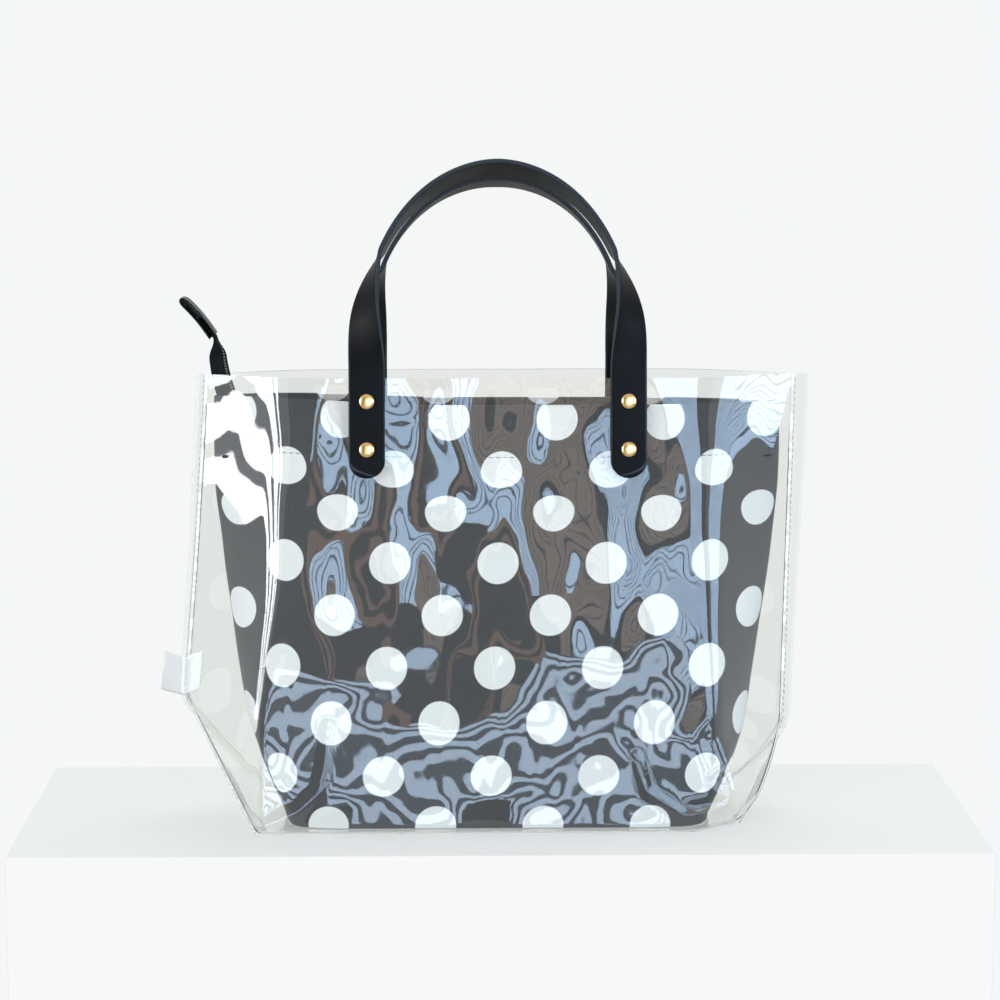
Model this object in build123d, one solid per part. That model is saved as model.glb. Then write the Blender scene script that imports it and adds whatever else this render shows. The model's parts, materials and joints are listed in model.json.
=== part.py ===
"""Clear PVC tote bag with two strap handles and a fabric zip pouch standing inside it.

Millimetres, +Z up, front towards -Y. The origin is the centre of the tote's base, on the surface
that the bag stands on. Each piece is a separate solid, written to its own file in parts/.
"""

from build123d import *
import math
import os

# ------------------------------------------------------------------ clear tote, driving sizes
base_width = 252.0  # along the fold at the front of the base
base_depth = 100.0
rim_height = 237.0
rim_width = 312.0  # from side seam to side seam
rim_depth = 48.0  # from front sheet to back sheet
rim_flat_width = 212.0  # straight stretch of the rim, before it turns towards the seams
rim_bend_radius = 60.0  # of that turn
fold_bend_radius = 4.0  # of the same turn down at the base
split_height = 50.0  # where each side seam splits in two
split_width = 322.0  # from side seam to side seam at that height
belly = 3.5  # how far the sheets bow out at mid height
sheet = 0.8  # thickness of the PVC
seam_allowance = 8.0  # width of the seam fins
binding_thickness = 0.5
corner_facets = 3  # flat strips in each turn of the sheet
bend_share = 0.6  # level of the slight bend across the sheets, as a share of the height

# ------------------------------------------------------------------ seam tag
tag_length = 22.0
tag_height = 19.0
tag_thickness = 0.4
tag_above_split = 2.0
tag_clearance = 0.05

# ------------------------------------------------------------------ strap handles
strap_width = 19.0
strap_thickness = 2.5
strap_spread = 136.0  # between the centre lines of the two riveted ends
strap_below_rim = 52.0
flex_above_rim = 3.0  # the line where the stiff strap starts to bend
flex_gap = 0.3
flex_reach = 2.0  # the bend's centre, in front of the strap's outer face
arch_top = 349.0  # highest edge of the handle above the ground
arch_width = 128.0
arch_rise = 73.0  # height of the curved part
arch_tilt = 29.0  # degrees that the strap lies over to the inside at the top
arch_stations = 21
twist_share = 0.27  # share of the strap's length in which it turns edge-on
handle_gap = 0.6  # between the two handles where they lean together

# ------------------------------------------------------------------ double cap rivets
rivet_below_rim = 12.0
rivet_pitch = 25.0
rivet_post = 2.8
rivet_clearance = 0.05
cap_width = 8.0
cap_rim = 0.5
cap_height = 1.8
cap_top = 4.0  # width of the level top inside the cap's bevel
stud_cap_height = 1.1

# ------------------------------------------------------------------ fabric pouch
pouch_below_rim = 14.9
pouch_base_end_room = 15.0  # from the pouch to the tote at each end of the base
pouch_base_side_room = 10.0  # the same at front and back
pouch_top_end_room = 7.0
pouch_top_side_room = 5.0
pouch_wall = 1.5
pouch_clearance = 0.3  # to the tote's base
# Sections of the pouch from bottom to top: share of the height, share of the way from base width
# to top width, the same for depth, the corner's length along X as a share of half the width, and
# the end's thickness as a share of the depth.
pouch_form = (
    (0.00, 0.00, 0.00, 0.15, 0.75),
    (0.07, 0.13, -0.09, 0.16, 0.74),
    (0.21, 0.39, -0.09, 0.20, 0.57),
    (0.54, 0.68, 0.19, 0.31, 0.36),
    (0.79, 1.00, 0.57, 0.36, 0.15),
    (1.00, 1.00, 1.00, 0.40, 0.12),
)
facing_depth = 29.0
facing_thickness = 0.8
facing_clearance = 0.2

# ------------------------------------------------------------------ zip
zip_length = 264.0
zip_below_top = 27.0
zip_mouth = 16.0  # between the two fabric panels
panel_thickness = 1.0
tape_width = 10.0
tape_thickness = 0.6
coil_width = 1.5
coil_height = 1.6
coil_gap = 1.5  # between the two rows, so that the slider's bridge passes
zip_end_margin = 12.0  # from the end of the zip to its stop
stop_length = 3.0
slider_length = 10.0
slider_play = 0.2
slider_plate = 0.9
slider_flange = 0.8
slider_rest = 2.5  # from the slider's nose to the stop
bridge_width = 1.1
bridge_length = 2.5
bail_width = 1.6
bail_wall = 0.8
bail_opening = 4.8
pull_length = 20.0
pull_width = 6.0
pull_thickness = 1.0
pull_play = 0.3
crossbar = 1.2

# ------------------------------------------------------------------ zip tail and its end tab
tail_width = 9.5
tail_neck_width = 8.0
tail_thickness = 1.8
tail_neck_thickness = 1.4
tail_coil = 1.2
tail_coil_play = 0.15
tail_seat_play = 0.1
tail_stations = 7
tail_twist_start = 0.6  # share of the tail's length below its quarter turn
neck_gap = 0.3
tab_length = 26.0
tab_width = 14.0
tab_thickness = 4.4
tab_slot_depth = 20.0
tab_slot_play = 0.1
tab_lean = 40.0  # degrees from upright

# ------------------------------------------------------------------ worked out from them
split_rise = rim_height - split_height
levels = [0.0, bend_share * rim_height, rim_height]
gusset_slope = (split_width - base_width) / 2 / split_height


def between(start, end, share):
    """The value a share of the way from start to end."""
    return start + (end - start) * share


def bounded(outline, thickness):
    """A convex outline moved inward by thickness, as points in the same order."""
    moved = []
    for index, corner in enumerate(outline):
        before = Vector(*corner) - Vector(*outline[index - 1])
        after = Vector(*outline[(index + 1) % len(outline)]) - Vector(*corner)
        normal_before = Vector(-before.Y, before.X).normalized()
        normal_after = Vector(-after.Y, after.X).normalized()
        shift = (normal_before + normal_after) * (thickness / (1 + normal_before.dot(normal_after)))
        point = Vector(*corner) + shift
        moved.append((point.X, point.Y))
    return moved


def turned_corner(before, corner, after, radius):
    """The points of one outline corner, rounded to a radius in flat strips."""
    corner = Vector(*corner)
    inward = (corner - Vector(*before)).normalized()
    turn = inward.get_signed_angle(Vector(*after) - corner, Vector(0, 0, 1))
    start = corner - inward * (radius * math.tan(math.radians(turn) / 2))
    to_centre = inward.rotate(Axis.Z, 90) * radius
    steps = [turn * facet / corner_facets for facet in range(corner_facets + 1)]
    points = [start + to_centre - to_centre.rotate(Axis.Z, step) for step in steps]
    return [(point.X, point.Y) for point in points]


def rounded_face(outline, radii, height):
    """A level face with the given outline and one corner radius for each of its points."""
    points = []
    for index, (corner, radius) in enumerate(zip(outline, radii)):
        after = outline[(index + 1) % len(outline)]
        points += turned_corner(outline[index - 1], corner, after, radius) if radius else [corner]
    return Pos(0, 0, height) * make_face(Polyline(*points, close=True))


# ================================================================== clear tote


def tote_sizes(height):
    """Half the flat width, half the depth, half the seam width and the bend at a level."""
    share = height / rim_height
    seam_share = (height - split_height) / split_rise
    return (
        between(base_width, rim_flat_width, share) / 2,
        between(base_depth, rim_depth, share) / 2 + belly * 4 * share * (1 - share),
        between(split_width, rim_width, seam_share) / 2,
        between(fold_bend_radius, rim_bend_radius, share),
    )


def tote_section(height, thickness):
    """The tote's outline at a level, moved inward by thickness. Its seams are sharp."""
    flat, depth, seam, bend = tote_sizes(height)
    outline = [(-flat, -depth), (flat, -depth), (seam, 0), (flat, depth), (-flat, depth), (-seam, 0)]
    turn = bend - thickness
    radii = [turn, turn, 0, turn, turn, 0]
    return rounded_face(bounded(outline, thickness), radii, height)


def gusset_prism(low, thickness):
    """The space between the two sloping end gussets, from a level up to the rim."""
    shift = thickness * math.hypot(1, gusset_slope)
    low_half = base_width / 2 + gusset_slope * low - shift
    high_half = base_width / 2 + gusset_slope * rim_height - shift
    outline = Polyline(
        (-low_half, low), (low_half, low), (high_half, rim_height), (-high_half, rim_height), close=True
    )
    return extrude(make_face(Plane.XZ * outline), amount=base_depth, both=True)


def tote_form(thickness):
    """The tote as a filled solid, moved inward by thickness."""
    sections = [tote_section(height, thickness) for height in levels]
    return loft(sections, ruled=True) & gusset_prism(thickness, thickness)


def side_fin(side, start, reach, thickness):
    """The upright seam's fin at one side (-1 or 1), from start to reach outside the seam line."""
    low_seam = split_width / 2
    high_seam = rim_width / 2
    outline = Polyline(
        (side * (low_seam + start), split_height),
        (side * (low_seam + reach), split_height),
        (side * (high_seam + reach), rim_height),
        (side * (high_seam + start), rim_height),
        close=True,
    )
    return extrude(make_face(Plane.XZ * outline), amount=thickness / 2, both=True)


def corner_fin(side, front, start, reach, thickness):
    """The fin along one leg of the split seam, down to a corner of the base (front is -1 or 1)."""
    top = Vector(side * split_width / 2, 0, split_height)
    foot = Vector(side * base_width / 2, front * base_depth / 2, 0)
    along = (foot - top).normalized()
    gusset_normal = Vector(side, 0, -gusset_slope).normalized()
    panel_run = split_width / 2 - base_width / 2
    panel_normal = Vector(side * base_depth / 2, front * panel_run, 0).normalized()
    outward = gusset_normal + panel_normal
    outward = (outward - along * outward.dot(along)).normalized()
    plane = Plane(origin=top, x_dir=along, z_dir=along.cross(outward))
    length = (foot - top).length + reach
    strip = Pos(length / 2, (start + reach) / 2) * Rectangle(length, reach - start)
    fin = extrude(plane * strip, amount=thickness / 2, both=True)
    size = split_width
    above_ground = Pos(0, 0, size / 2) * Box(size * 2, size, size)
    return fin & above_ground


def tag_block(growth):
    """The seam tag's own block, grown by a clearance: through the left seam, half of it inside."""
    height = split_height + tag_above_split + tag_height / 2
    seam = between(split_width, rim_width, (height - split_height) / split_rise) / 2
    block = Box(tag_length + 2 * growth, tag_thickness + 2 * growth, tag_height + 2 * growth)
    return Pos(-seam, 0, height) * block


def panel_lean():
    """Angle of the upper front sheet from upright, in radians."""
    low_depth = tote_sizes(levels[-2])[1]
    return math.atan2(low_depth - rim_depth / 2, rim_height - levels[-2])


def front_panel():
    """The outside of the upper front sheet: x across, y up the sheet from the rim, z outward."""
    lean = panel_lean()
    return Plane(
        origin=(0, -rim_depth / 2, rim_height),
        x_dir=(1, 0, 0),
        z_dir=(0, -math.cos(lean), math.sin(lean)),
    )


def to_back(piece):
    """The same piece at the back of the bag."""
    return piece.rotate(Axis.Z, 180)


def rivet_places():
    """Rivet centres on the front panel."""
    return [
        (side * strap_spread / 2, -rivet_below_rim - row * rivet_pitch)
        for side in (-1, 1)
        for row in (0, 1)
    ]


def on_front_panel(piece, places):
    """Copies of a piece at places on the front panel, as one list."""
    return [front_panel() * Pos(x, y, 0) * piece for x, y in places]


def post_cylinder(radius, low, high):
    """A cylinder square to the panel, between two distances from its outer face."""
    return Pos(0, 0, (low + high) / 2) * Cylinder(radius, high - low)


def clear_body():
    """One PVC sheet round front, base and back, with its gussets and its seam fins."""
    body = tote_form(0) - tote_form(sheet)
    fin_root = -sheet / 2
    for side in (-1, 1):
        body += side_fin(side, fin_root, seam_allowance, 2 * sheet)
        for front in (-1, 1):
            body += corner_fin(side, front, fin_root, seam_allowance, 2 * sheet)
    body -= tag_block(tag_clearance)
    hole = post_cylinder(rivet_post / 2 + rivet_clearance, -3 * sheet, sheet)
    for placed in on_front_panel(hole, rivet_places()):
        body -= placed
        body -= to_back(placed)
    return body


def side_binding(side):
    """The clear binding folded over one upright seam fin, open where the tag passes through."""
    outer = side_fin(side, sheet, seam_allowance + binding_thickness, 2 * (sheet + binding_thickness))
    binding = outer - side_fin(side, 0, seam_allowance, 2 * sheet) - tag_block(tag_clearance)
    for front in (-1, 1):
        binding -= corner_fin(side, front, -sheet, seam_allowance, 2 * sheet)
    return binding


def corner_binding(side):
    """The clear bindings folded over the two legs of one split seam."""
    legs = []
    for front in (-1, 1):
        reach = seam_allowance + binding_thickness
        outer = corner_fin(side, front, sheet, reach, 2 * (sheet + binding_thickness))
        leg = outer - corner_fin(side, front, 0, seam_allowance, 2 * sheet)
        leg -= side_fin(side, 0, reach, 2 * (sheet + binding_thickness))
        leg -= corner_fin(side, -front, 0, reach, 2 * (sheet + binding_thickness))
        legs.append(leg)
    return legs


# ================================================================== strap handles


def strap_end(side):
    """One riveted end of a strap, flat on the panel, round at its foot, up to the flex line."""
    top = flex_above_rim - flex_gap / 2
    straight = strap_below_rim - strap_width / 2 + top
    outline = Pos(0, top - straight / 2) * Rectangle(strap_width, straight)
    outline += Pos(0, top - straight) * Circle(strap_width / 2)
    end = extrude(outline, amount=strap_thickness)
    for row in (0, 1):
        place = Pos(0, -rivet_below_rim - row * rivet_pitch)
        end -= place * post_cylinder(rivet_post / 2 + rivet_clearance, 0, strap_thickness)
    return front_panel() * Pos(side * strap_spread / 2, 0, 0) * end


def strap_frames():
    """Planes along the strap's centre line, x across the strap, z along it."""
    lean = panel_lean()
    panel = front_panel()
    start = panel.from_local_coords(Vector(-strap_spread / 2, flex_above_rim, strap_thickness / 2))
    tilt_cos = math.cos(math.radians(arch_tilt))
    tilt_sin = math.sin(math.radians(arch_tilt))
    top_depth = (strap_width * tilt_cos + strap_thickness * tilt_sin + handle_gap) / 2
    top_centre = arch_top - (strap_width * tilt_sin + strap_thickness * tilt_cos) / 2
    shoulder = top_centre - arch_rise

    def centre(x, height):
        share = (height - start.Z) / (top_centre - start.Z)
        return Vector(x, between(start.Y, -top_depth, share), height)

    points = [start, centre(-arch_width / 2, shoulder)]
    for angle in (-60, -30, 0, 30, 60):
        turn = math.radians(angle)
        points.append(centre(arch_width / 2 * math.sin(turn), shoulder + arch_rise * math.cos(turn)))
    points.append(centre(arch_width / 2, shoulder))
    points.append(Vector(-start.X, start.Y, start.Z))
    rise = Vector(0, math.sin(lean), math.cos(lean))
    path = Spline(*points, tangents=[rise, -rise])

    frames = []
    for station in range(arch_stations):
        share = station / (arch_stations - 1)
        from_end = min(share, 1 - share)
        turned = min(from_end / twist_share, 1)
        twist = math.pi / 2 * turned * turned * (3 - 2 * turned)
        tilt = between(lean, math.radians(arch_tilt), min(2 * from_end, 1))
        along = path % share
        across = Vector(0, math.cos(tilt), -math.sin(tilt))
        across = (across - along * across.dot(along)).normalized()
        outward = along.cross(across)
        edge = outward * math.cos(twist) + across * math.sin(twist)
        frames.append(Plane(origin=path @ share, x_dir=edge, z_dir=along))
    return frames


def strap_grip():
    """The strap between its flex lines, turned edge-on as it rises into the handle's arch."""
    frames = strap_frames()
    frames[0] = frames[0].offset(flex_gap / 2)
    frames[-1] = frames[-1].offset(-flex_gap / 2)
    section = Rectangle(strap_width, strap_thickness)
    return loft([frame * section for frame in frames])


def flex_axis():
    """A point on the handle's bending axis, which runs along X in front of the strap."""
    return front_panel().from_local_coords(
        Vector(0, flex_above_rim, strap_thickness + flex_reach)
    )


# ================================================================== rivets


def rivet_cap():
    """The outer bevelled cap of a rivet, on the strap's face."""
    base = strap_thickness
    outline = Polyline(
        (0, base),
        (cap_width / 2, base),
        (cap_width / 2, base + cap_rim),
        (cap_top / 2, base + cap_height),
        (0, base + cap_height),
        close=True,
    )
    return revolve(make_face(Plane.XZ * outline), Axis.Z)


def rivet_stud():
    """The inner cap of a rivet with its post, through the sheet and the strap."""
    under = -sheet * math.cos(panel_lean())
    outline = Polyline(
        (0, strap_thickness),
        (0, under - stud_cap_height),
        (cap_width / 2, under - stud_cap_height),
        (cap_width / 2, under),
        (rivet_post / 2, under),
        (rivet_post / 2, strap_thickness),
        close=True,
    )
    return revolve(make_face(Plane.XZ * outline), Axis.Z)


# ================================================================== fabric pouch

pouch_floor = sheet + pouch_clearance
pouch_top = rim_height - pouch_below_rim
pouch_height = pouch_top - pouch_floor
pouch_base_width = base_width - 2 * pouch_base_end_room
pouch_base_depth = base_depth - 2 * pouch_base_side_room
pouch_top_width = rim_width - 2 * pouch_top_end_room
pouch_top_depth = rim_depth - 2 * pouch_top_side_room
zip_height = pouch_top - zip_below_top


def pouch_outline(share):
    """The pouch's outline at a share of its height, between its stated sections."""
    for low, high in zip(pouch_form, pouch_form[1:]):
        if share <= high[0]:
            break
    step = (share - low[0]) / (high[0] - low[0])
    width_share, depth_share, corner_share, end_share = (
        between(low[column], high[column], step) for column in range(1, 5)
    )
    half_width = between(pouch_base_width, pouch_top_width, width_share) / 2
    half_depth = between(pouch_base_depth, pouch_top_depth, depth_share) / 2
    flat = half_width * (1 - corner_share)
    end = half_depth * end_share
    front = [(-half_width, -end), (-flat, -half_depth), (flat, -half_depth), (half_width, -end)]
    return front + [(-x, -y) for x, y in front]


def pouch_section(share, thickness):
    """A level face of the pouch, moved inward by thickness."""
    outline = bounded(pouch_outline(share), thickness)
    return Pos(0, 0, pouch_floor + share * pouch_height) * make_face(Polyline(*outline, close=True))


def pouch_form_solid(shares, thickness):
    """The pouch as a filled solid between the given shares of its height."""
    return loft([pouch_section(share, thickness) for share in shares], ruled=True)


def pouch_body():
    """The fabric shell, closed below and open at its mouth."""
    shares = [row[0] for row in pouch_form]
    inner = pouch_form_solid(shares, pouch_wall)
    inner -= Pos(0, 0, pouch_floor) * Box(pouch_top_width, pouch_base_width, 2 * pouch_wall)
    return pouch_form_solid(shares, 0) - inner


def facing_inset():
    """From the pouch's outside to the inside of its facing."""
    return pouch_wall + facing_clearance + facing_thickness


def pouch_facing():
    """The band turned inside at the mouth."""
    shares = [1 - facing_depth / pouch_height, 1.0]
    outside = pouch_form_solid(shares, pouch_wall + facing_clearance)
    return outside - pouch_form_solid(shares, facing_inset())


def across_mouth(height, thickness):
    """A level slab that fills the facing, from a height upward."""
    share = (height + thickness - pouch_floor) / pouch_height
    outline = bounded(pouch_outline(share), facing_inset() + facing_clearance)
    face = Pos(0, 0, height) * make_face(Polyline(*outline, close=True))
    return extrude(face, amount=thickness)


def strip_block(length, near, far, low, high):
    """A block along X, centred, from near to far in front of the zip's middle."""
    return Pos(0, -(near + far) / 2, (low + high) / 2) * Box(length, far - near, high - low)


def zip_panel():
    """The front fabric strip between the facing and the zip."""
    low = zip_height - panel_thickness
    cut = strip_block(pouch_top_width, zip_mouth / 2, pouch_base_depth, low, zip_height)
    return across_mouth(low, panel_thickness) & cut


def coil_reach():
    """From the zip's middle to the outer side of one coil row."""
    return coil_gap / 2 + coil_width


def zip_tape():
    """The front zip tape, sewn on its panel."""
    near = coil_reach()
    top = zip_height + tape_thickness
    cut = strip_block(zip_length, near, near + tape_width, zip_height, top)
    return across_mouth(zip_height, tape_thickness) & cut


def coil_centre():
    """The height of the middle of the coils."""
    return zip_height + tape_thickness / 2


def stop_start():
    """Where the coils end at the zip's stop."""
    return zip_length / 2 - zip_end_margin


def zip_coil():
    """The front coil row, rounded along its upper and lower outer edges."""
    start = -zip_length / 2
    length = stop_start() - start
    middle = Pos((start + stop_start()) / 2, -(coil_gap / 2 + coil_width / 2), coil_centre())
    row = Box(length, coil_width, coil_height)
    row = fillet(row.edges().filter_by(Axis.X).group_by(Axis.Y)[-1], coil_width / 3)
    return middle * row


def zip_stop():
    """The block that closes the end of the zip."""
    block = Box(stop_length, 2 * coil_reach(), coil_height)
    block = fillet(block.edges().filter_by(Axis.Z), coil_width / 3)
    return Pos(stop_start() + stop_length / 2, 0, coil_centre()) * block


# ------------------------------------------------------------------ slider and pull


def slider_middle():
    """The slider's middle along X with the zip closed."""
    return stop_start() - slider_rest - slider_length / 2


def plate_height():
    """From the middle of the coils to the inner face of a slider plate."""
    return coil_height / 2 + slider_play


def pull_axis_height():
    """The height of the pull's crossbar."""
    return coil_centre() + plate_height() + slider_plate + pull_play + crossbar / 2


def zip_slider():
    """Two plates with side flanges, the bridge between the coils and the bail for the pull."""
    flange_inner = coil_reach() + slider_play
    half_width = flange_inner + slider_flange
    inner = plate_height()
    tape_room = tape_thickness / 2 + slider_play
    nose = slider_length / 2
    outline = Polyline(
        (-nose, -half_width + slider_flange / 2),
        (nose - slider_flange, -half_width),
        (nose, -half_width + slider_flange),
        (nose, half_width - slider_flange),
        (nose - slider_flange, half_width),
        (-nose, half_width - slider_flange / 2),
        close=True,
    )
    block = Pos(0, 0, -inner - slider_plate) * extrude(
        make_face(outline), amount=2 * (inner + slider_plate)
    )
    channel = Box(2 * slider_length, 2 * flange_inner, 2 * inner)
    slot = Box(2 * slider_length, 4 * half_width, 2 * tape_room)
    bridge = Pos(nose - bridge_length, 0, 0) * Box(bridge_length, bridge_width, 2 * inner)
    slider = block - channel - slot + bridge

    bail_foot = inner + slider_plate
    opening_top = 2 * pull_play + crossbar
    outer_half = bail_opening / 2 + bail_wall
    frame = Pos(0, bail_foot + (opening_top + bail_wall) / 2) * Rectangle(
        2 * outer_half, opening_top + bail_wall
    )
    frame = fillet(frame.vertices().group_by(Axis.Y)[-1], bail_wall)
    frame -= Pos(0, bail_foot + opening_top / 2) * Rectangle(bail_opening, opening_top)
    slider += extrude(Plane.XZ * frame, amount=bail_width / 2, both=True)
    return Pos(slider_middle(), 0, coil_centre()) * slider


def zip_pull():
    """The pull, lying back over the zip: a crossbar under the bail, two arms and a plate."""
    window_length = bail_opening / 2 + bail_wall + crossbar
    window_width = bail_width + 2 * pull_play
    plate = Pos(-pull_length / 2, 0, 0) * Box(pull_length, pull_width, pull_thickness)
    plate = fillet(plate.edges().filter_by(Axis.Z), pull_width / 4)
    plate -= Pos(-window_length / 2, 0, 0) * Box(window_length, window_width, crossbar)
    bar = Rot(90, 0, 0) * Cylinder(crossbar / 2, pull_width - pull_width / 2)
    return Pos(slider_middle(), 0, pull_axis_height()) * (plate + bar)


# ------------------------------------------------------------------ tail of the zip


def tail_neck():
    """The point where the tail is turned edge-on and bends: on the axis of the end tab."""
    seam = rim_width / 2
    return Vector(-seam + tail_neck_width, 0, rim_height + 2 * tail_width)


def tail_seat():
    """The level just above the coils where the tail leaves the zip."""
    return coil_centre() + coil_height / 2 + tail_seat_play


def above_seat(piece):
    """A piece of the tail without what would reach down into the zip."""
    return piece - Pos(-zip_length / 2, 0, tail_seat() - tail_width) * Box(
        4 * tail_width, 4 * tail_width, 2 * tail_width
    )


def tail_frames():
    """Planes along the tail, x across the folded tape, z along it, with its width at each."""
    neck = tail_neck()
    foot = Vector(-zip_length / 2 + tail_width, 0, tail_seat())
    mouth = Vector(-zip_length / 2 - tail_width / 2, 0, pouch_top)
    rim = Vector(neck.X + tail_width / 2, 0, rim_height)
    path = Spline(foot, mouth, rim, neck)
    setback = (tail_neck_thickness / 2 + neck_gap) / path.length
    frames = []
    for station in range(tail_stations):
        share = (1 - setback) * station / (tail_stations - 1)
        along = path % share
        across = Vector(along.Z, 0, -along.X)
        turned = max(0, (share - tail_twist_start) / (1 - tail_twist_start))
        twist = math.pi / 2 * turned * turned * (3 - 2 * turned)
        edge = across * math.cos(twist) + Vector(0, 1, 0) * math.sin(twist)
        width = between(tail_width, tail_neck_width, share)
        thickness = between(tail_thickness, tail_neck_thickness, share)
        frames.append((Plane(origin=path @ share, x_dir=edge, z_dir=along), width, thickness))
    return frames


def zip_tail():
    """The zip's free end, folded in half lengthwise, rising out of the pouch's corner."""
    faces = [
        frame * Rectangle(width, thickness)
        for frame, width, thickness in tail_frames()
    ]
    return above_seat(loft(faces))


def zip_tail_coil():
    """The coil row that shows along the folded edge of the tail."""
    faces = []
    for frame, width, thickness in tail_frames():
        edge = (width + tail_coil) / 2 + tail_coil_play
        faces.append(frame * Pos(edge, 0) * Rectangle(tail_coil, tail_coil))
    return above_seat(loft(faces))


def tab_plane():
    """The end tab's plane: x along Y, z along the tab, origin on the neck."""
    lean = math.radians(tab_lean)
    along = Vector(-math.sin(lean), 0, math.cos(lean))
    return Plane(origin=tail_neck(), x_dir=(0, 1, 0), z_dir=along)


def tab_start():
    """From the neck's axis to the open end of the tab."""
    return tail_neck_thickness + neck_gap


def zip_tail_tip():
    """The tape's last stretch, round at the neck's axis, up into the tab."""
    reach = tab_start() + tab_slot_depth - tab_slot_play
    strip = Pos(0, 0, reach / 2) * Box(tail_neck_width, tail_neck_thickness, reach)
    roll = Rot(0, 90, 0) * Cylinder(tail_neck_thickness / 2, tail_neck_width)
    return tab_plane() * (strip + roll)


def tail_end_tab():
    """The tab folded over the end of the tape and closed along its sides."""
    middle = tab_start() + tab_length / 2
    block = Pos(0, 0, middle) * Box(tab_width, tab_thickness, tab_length)
    block = fillet(block.edges().filter_by(Axis.X).group_by(Axis.Z)[-1], tab_thickness / 2.2)
    slot_width = tail_neck_width + 2 * tab_slot_play
    slot_thickness = tail_neck_thickness + 2 * tab_slot_play
    slot = Pos(0, 0, tab_start() + tab_slot_depth / 2) * Box(slot_width, slot_thickness, tab_slot_depth)
    return tab_plane() * (block - slot)


# ================================================================== all nodes


def build_nodes():
    """Every piece under its node's name."""
    nodes = {
        "clear_body": clear_body(),
        "seam_tag": tag_block(0),
        "pouch_body": pouch_body(),
        "pouch_facing": pouch_facing(),
        "zip_stop": zip_stop(),
        "zip_slider": zip_slider(),
        "zip_pull": zip_pull(),
        "zip_tail": zip_tail(),
        "zip_tail_coil": zip_tail_coil(),
        "zip_tail_tip": zip_tail_tip(),
        "tail_end_tab": tail_end_tab(),
    }
    for side, name in ((-1, "left"), (1, "right")):
        nodes[f"{name}_side_binding"] = side_binding(side)
        nodes[f"{name}_corner_binding"] = corner_binding(side)
        nodes[f"front_strap_{name}_end"] = strap_end(side)
        nodes[f"back_strap_{name}_end"] = to_back(strap_end(-side))
    grip = strap_grip()
    nodes["front_strap_grip"] = grip
    nodes["back_strap_grip"] = to_back(grip)
    for name, piece in (("rivet_caps", rivet_cap()), ("rivet_studs", rivet_stud())):
        placed = on_front_panel(piece, rivet_places())
        nodes[f"front_{name}"] = placed
        nodes[f"back_{name}"] = [to_back(one) for one in placed]
    for name, piece in (("zip_panel", zip_panel()), ("zip_tape", zip_tape()), ("zip_coil", zip_coil())):
        nodes[f"front_{name}"] = piece
        nodes[f"back_{name}"] = to_back(piece) if name != "zip_coil" else mirror(piece, Plane.XZ)
    return nodes


def write_node(name, piece):
    """Write one node's solids to its own STEP file."""
    pieces = piece if isinstance(piece, list) else [piece]
    solids = [solid for one in pieces for solid in one.solids()]
    export_step(Compound(children=solids), os.path.join("parts", f"{name}.step"))


os.makedirs("parts", exist_ok=True)
for node_name, node_piece in build_nodes().items():
    write_node(node_name, node_piece)
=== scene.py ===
"""Clear PVC tote bag with two strap handles, holding a dotted zip pouch.

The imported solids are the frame. Soft pieces are remade here as the sheets, straps and cloth that
they are, in metres, +Z up, front towards -Y.
"""

import json
import logging
import math
from dataclasses import dataclass, field
from enum import Enum
from functools import partial
from typing import Any, Callable, Iterable, Sequence

import bmesh
import bpy
import numpy as np
from mathutils import Matrix, Vector, noise

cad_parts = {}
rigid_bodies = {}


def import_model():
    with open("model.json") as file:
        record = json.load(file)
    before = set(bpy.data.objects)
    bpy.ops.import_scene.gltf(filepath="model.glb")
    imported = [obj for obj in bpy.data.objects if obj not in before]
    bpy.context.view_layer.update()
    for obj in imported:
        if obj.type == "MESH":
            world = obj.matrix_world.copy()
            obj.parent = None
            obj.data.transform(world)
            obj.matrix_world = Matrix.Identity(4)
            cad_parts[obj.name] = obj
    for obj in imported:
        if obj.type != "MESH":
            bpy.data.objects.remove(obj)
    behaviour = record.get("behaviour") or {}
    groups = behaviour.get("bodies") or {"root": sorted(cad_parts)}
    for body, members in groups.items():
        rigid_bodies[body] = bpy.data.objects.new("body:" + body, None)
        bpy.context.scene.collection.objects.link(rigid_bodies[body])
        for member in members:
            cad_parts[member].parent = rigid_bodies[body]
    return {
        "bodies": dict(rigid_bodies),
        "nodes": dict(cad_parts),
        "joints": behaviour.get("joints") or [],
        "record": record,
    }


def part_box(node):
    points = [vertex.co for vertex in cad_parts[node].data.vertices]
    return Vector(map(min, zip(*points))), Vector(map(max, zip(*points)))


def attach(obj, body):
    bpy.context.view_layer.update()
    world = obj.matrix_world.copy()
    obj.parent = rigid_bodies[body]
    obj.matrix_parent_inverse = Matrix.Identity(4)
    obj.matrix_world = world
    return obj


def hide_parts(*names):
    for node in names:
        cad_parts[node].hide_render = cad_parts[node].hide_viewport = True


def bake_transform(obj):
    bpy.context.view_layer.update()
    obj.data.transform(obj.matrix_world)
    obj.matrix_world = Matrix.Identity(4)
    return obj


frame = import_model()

logging.basicConfig(level=logging.INFO, format="%(message)s")
log = logging.getLogger("tote")

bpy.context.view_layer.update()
MM = 0.001


class Side(Enum):
    """Which of the two like halves a piece belongs to."""

    FRONT = 0
    BACK = 1

    @property
    def turn(self) -> Matrix:
        """Half a turn about Z for the back, none for the front."""
        return Matrix.Rotation(math.pi * self.value, 4, "Z")

    @property
    def label(self) -> str:
        """The side's name as the nodes spell it."""
        return self.name.lower()


# ================================================================== small tools


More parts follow.
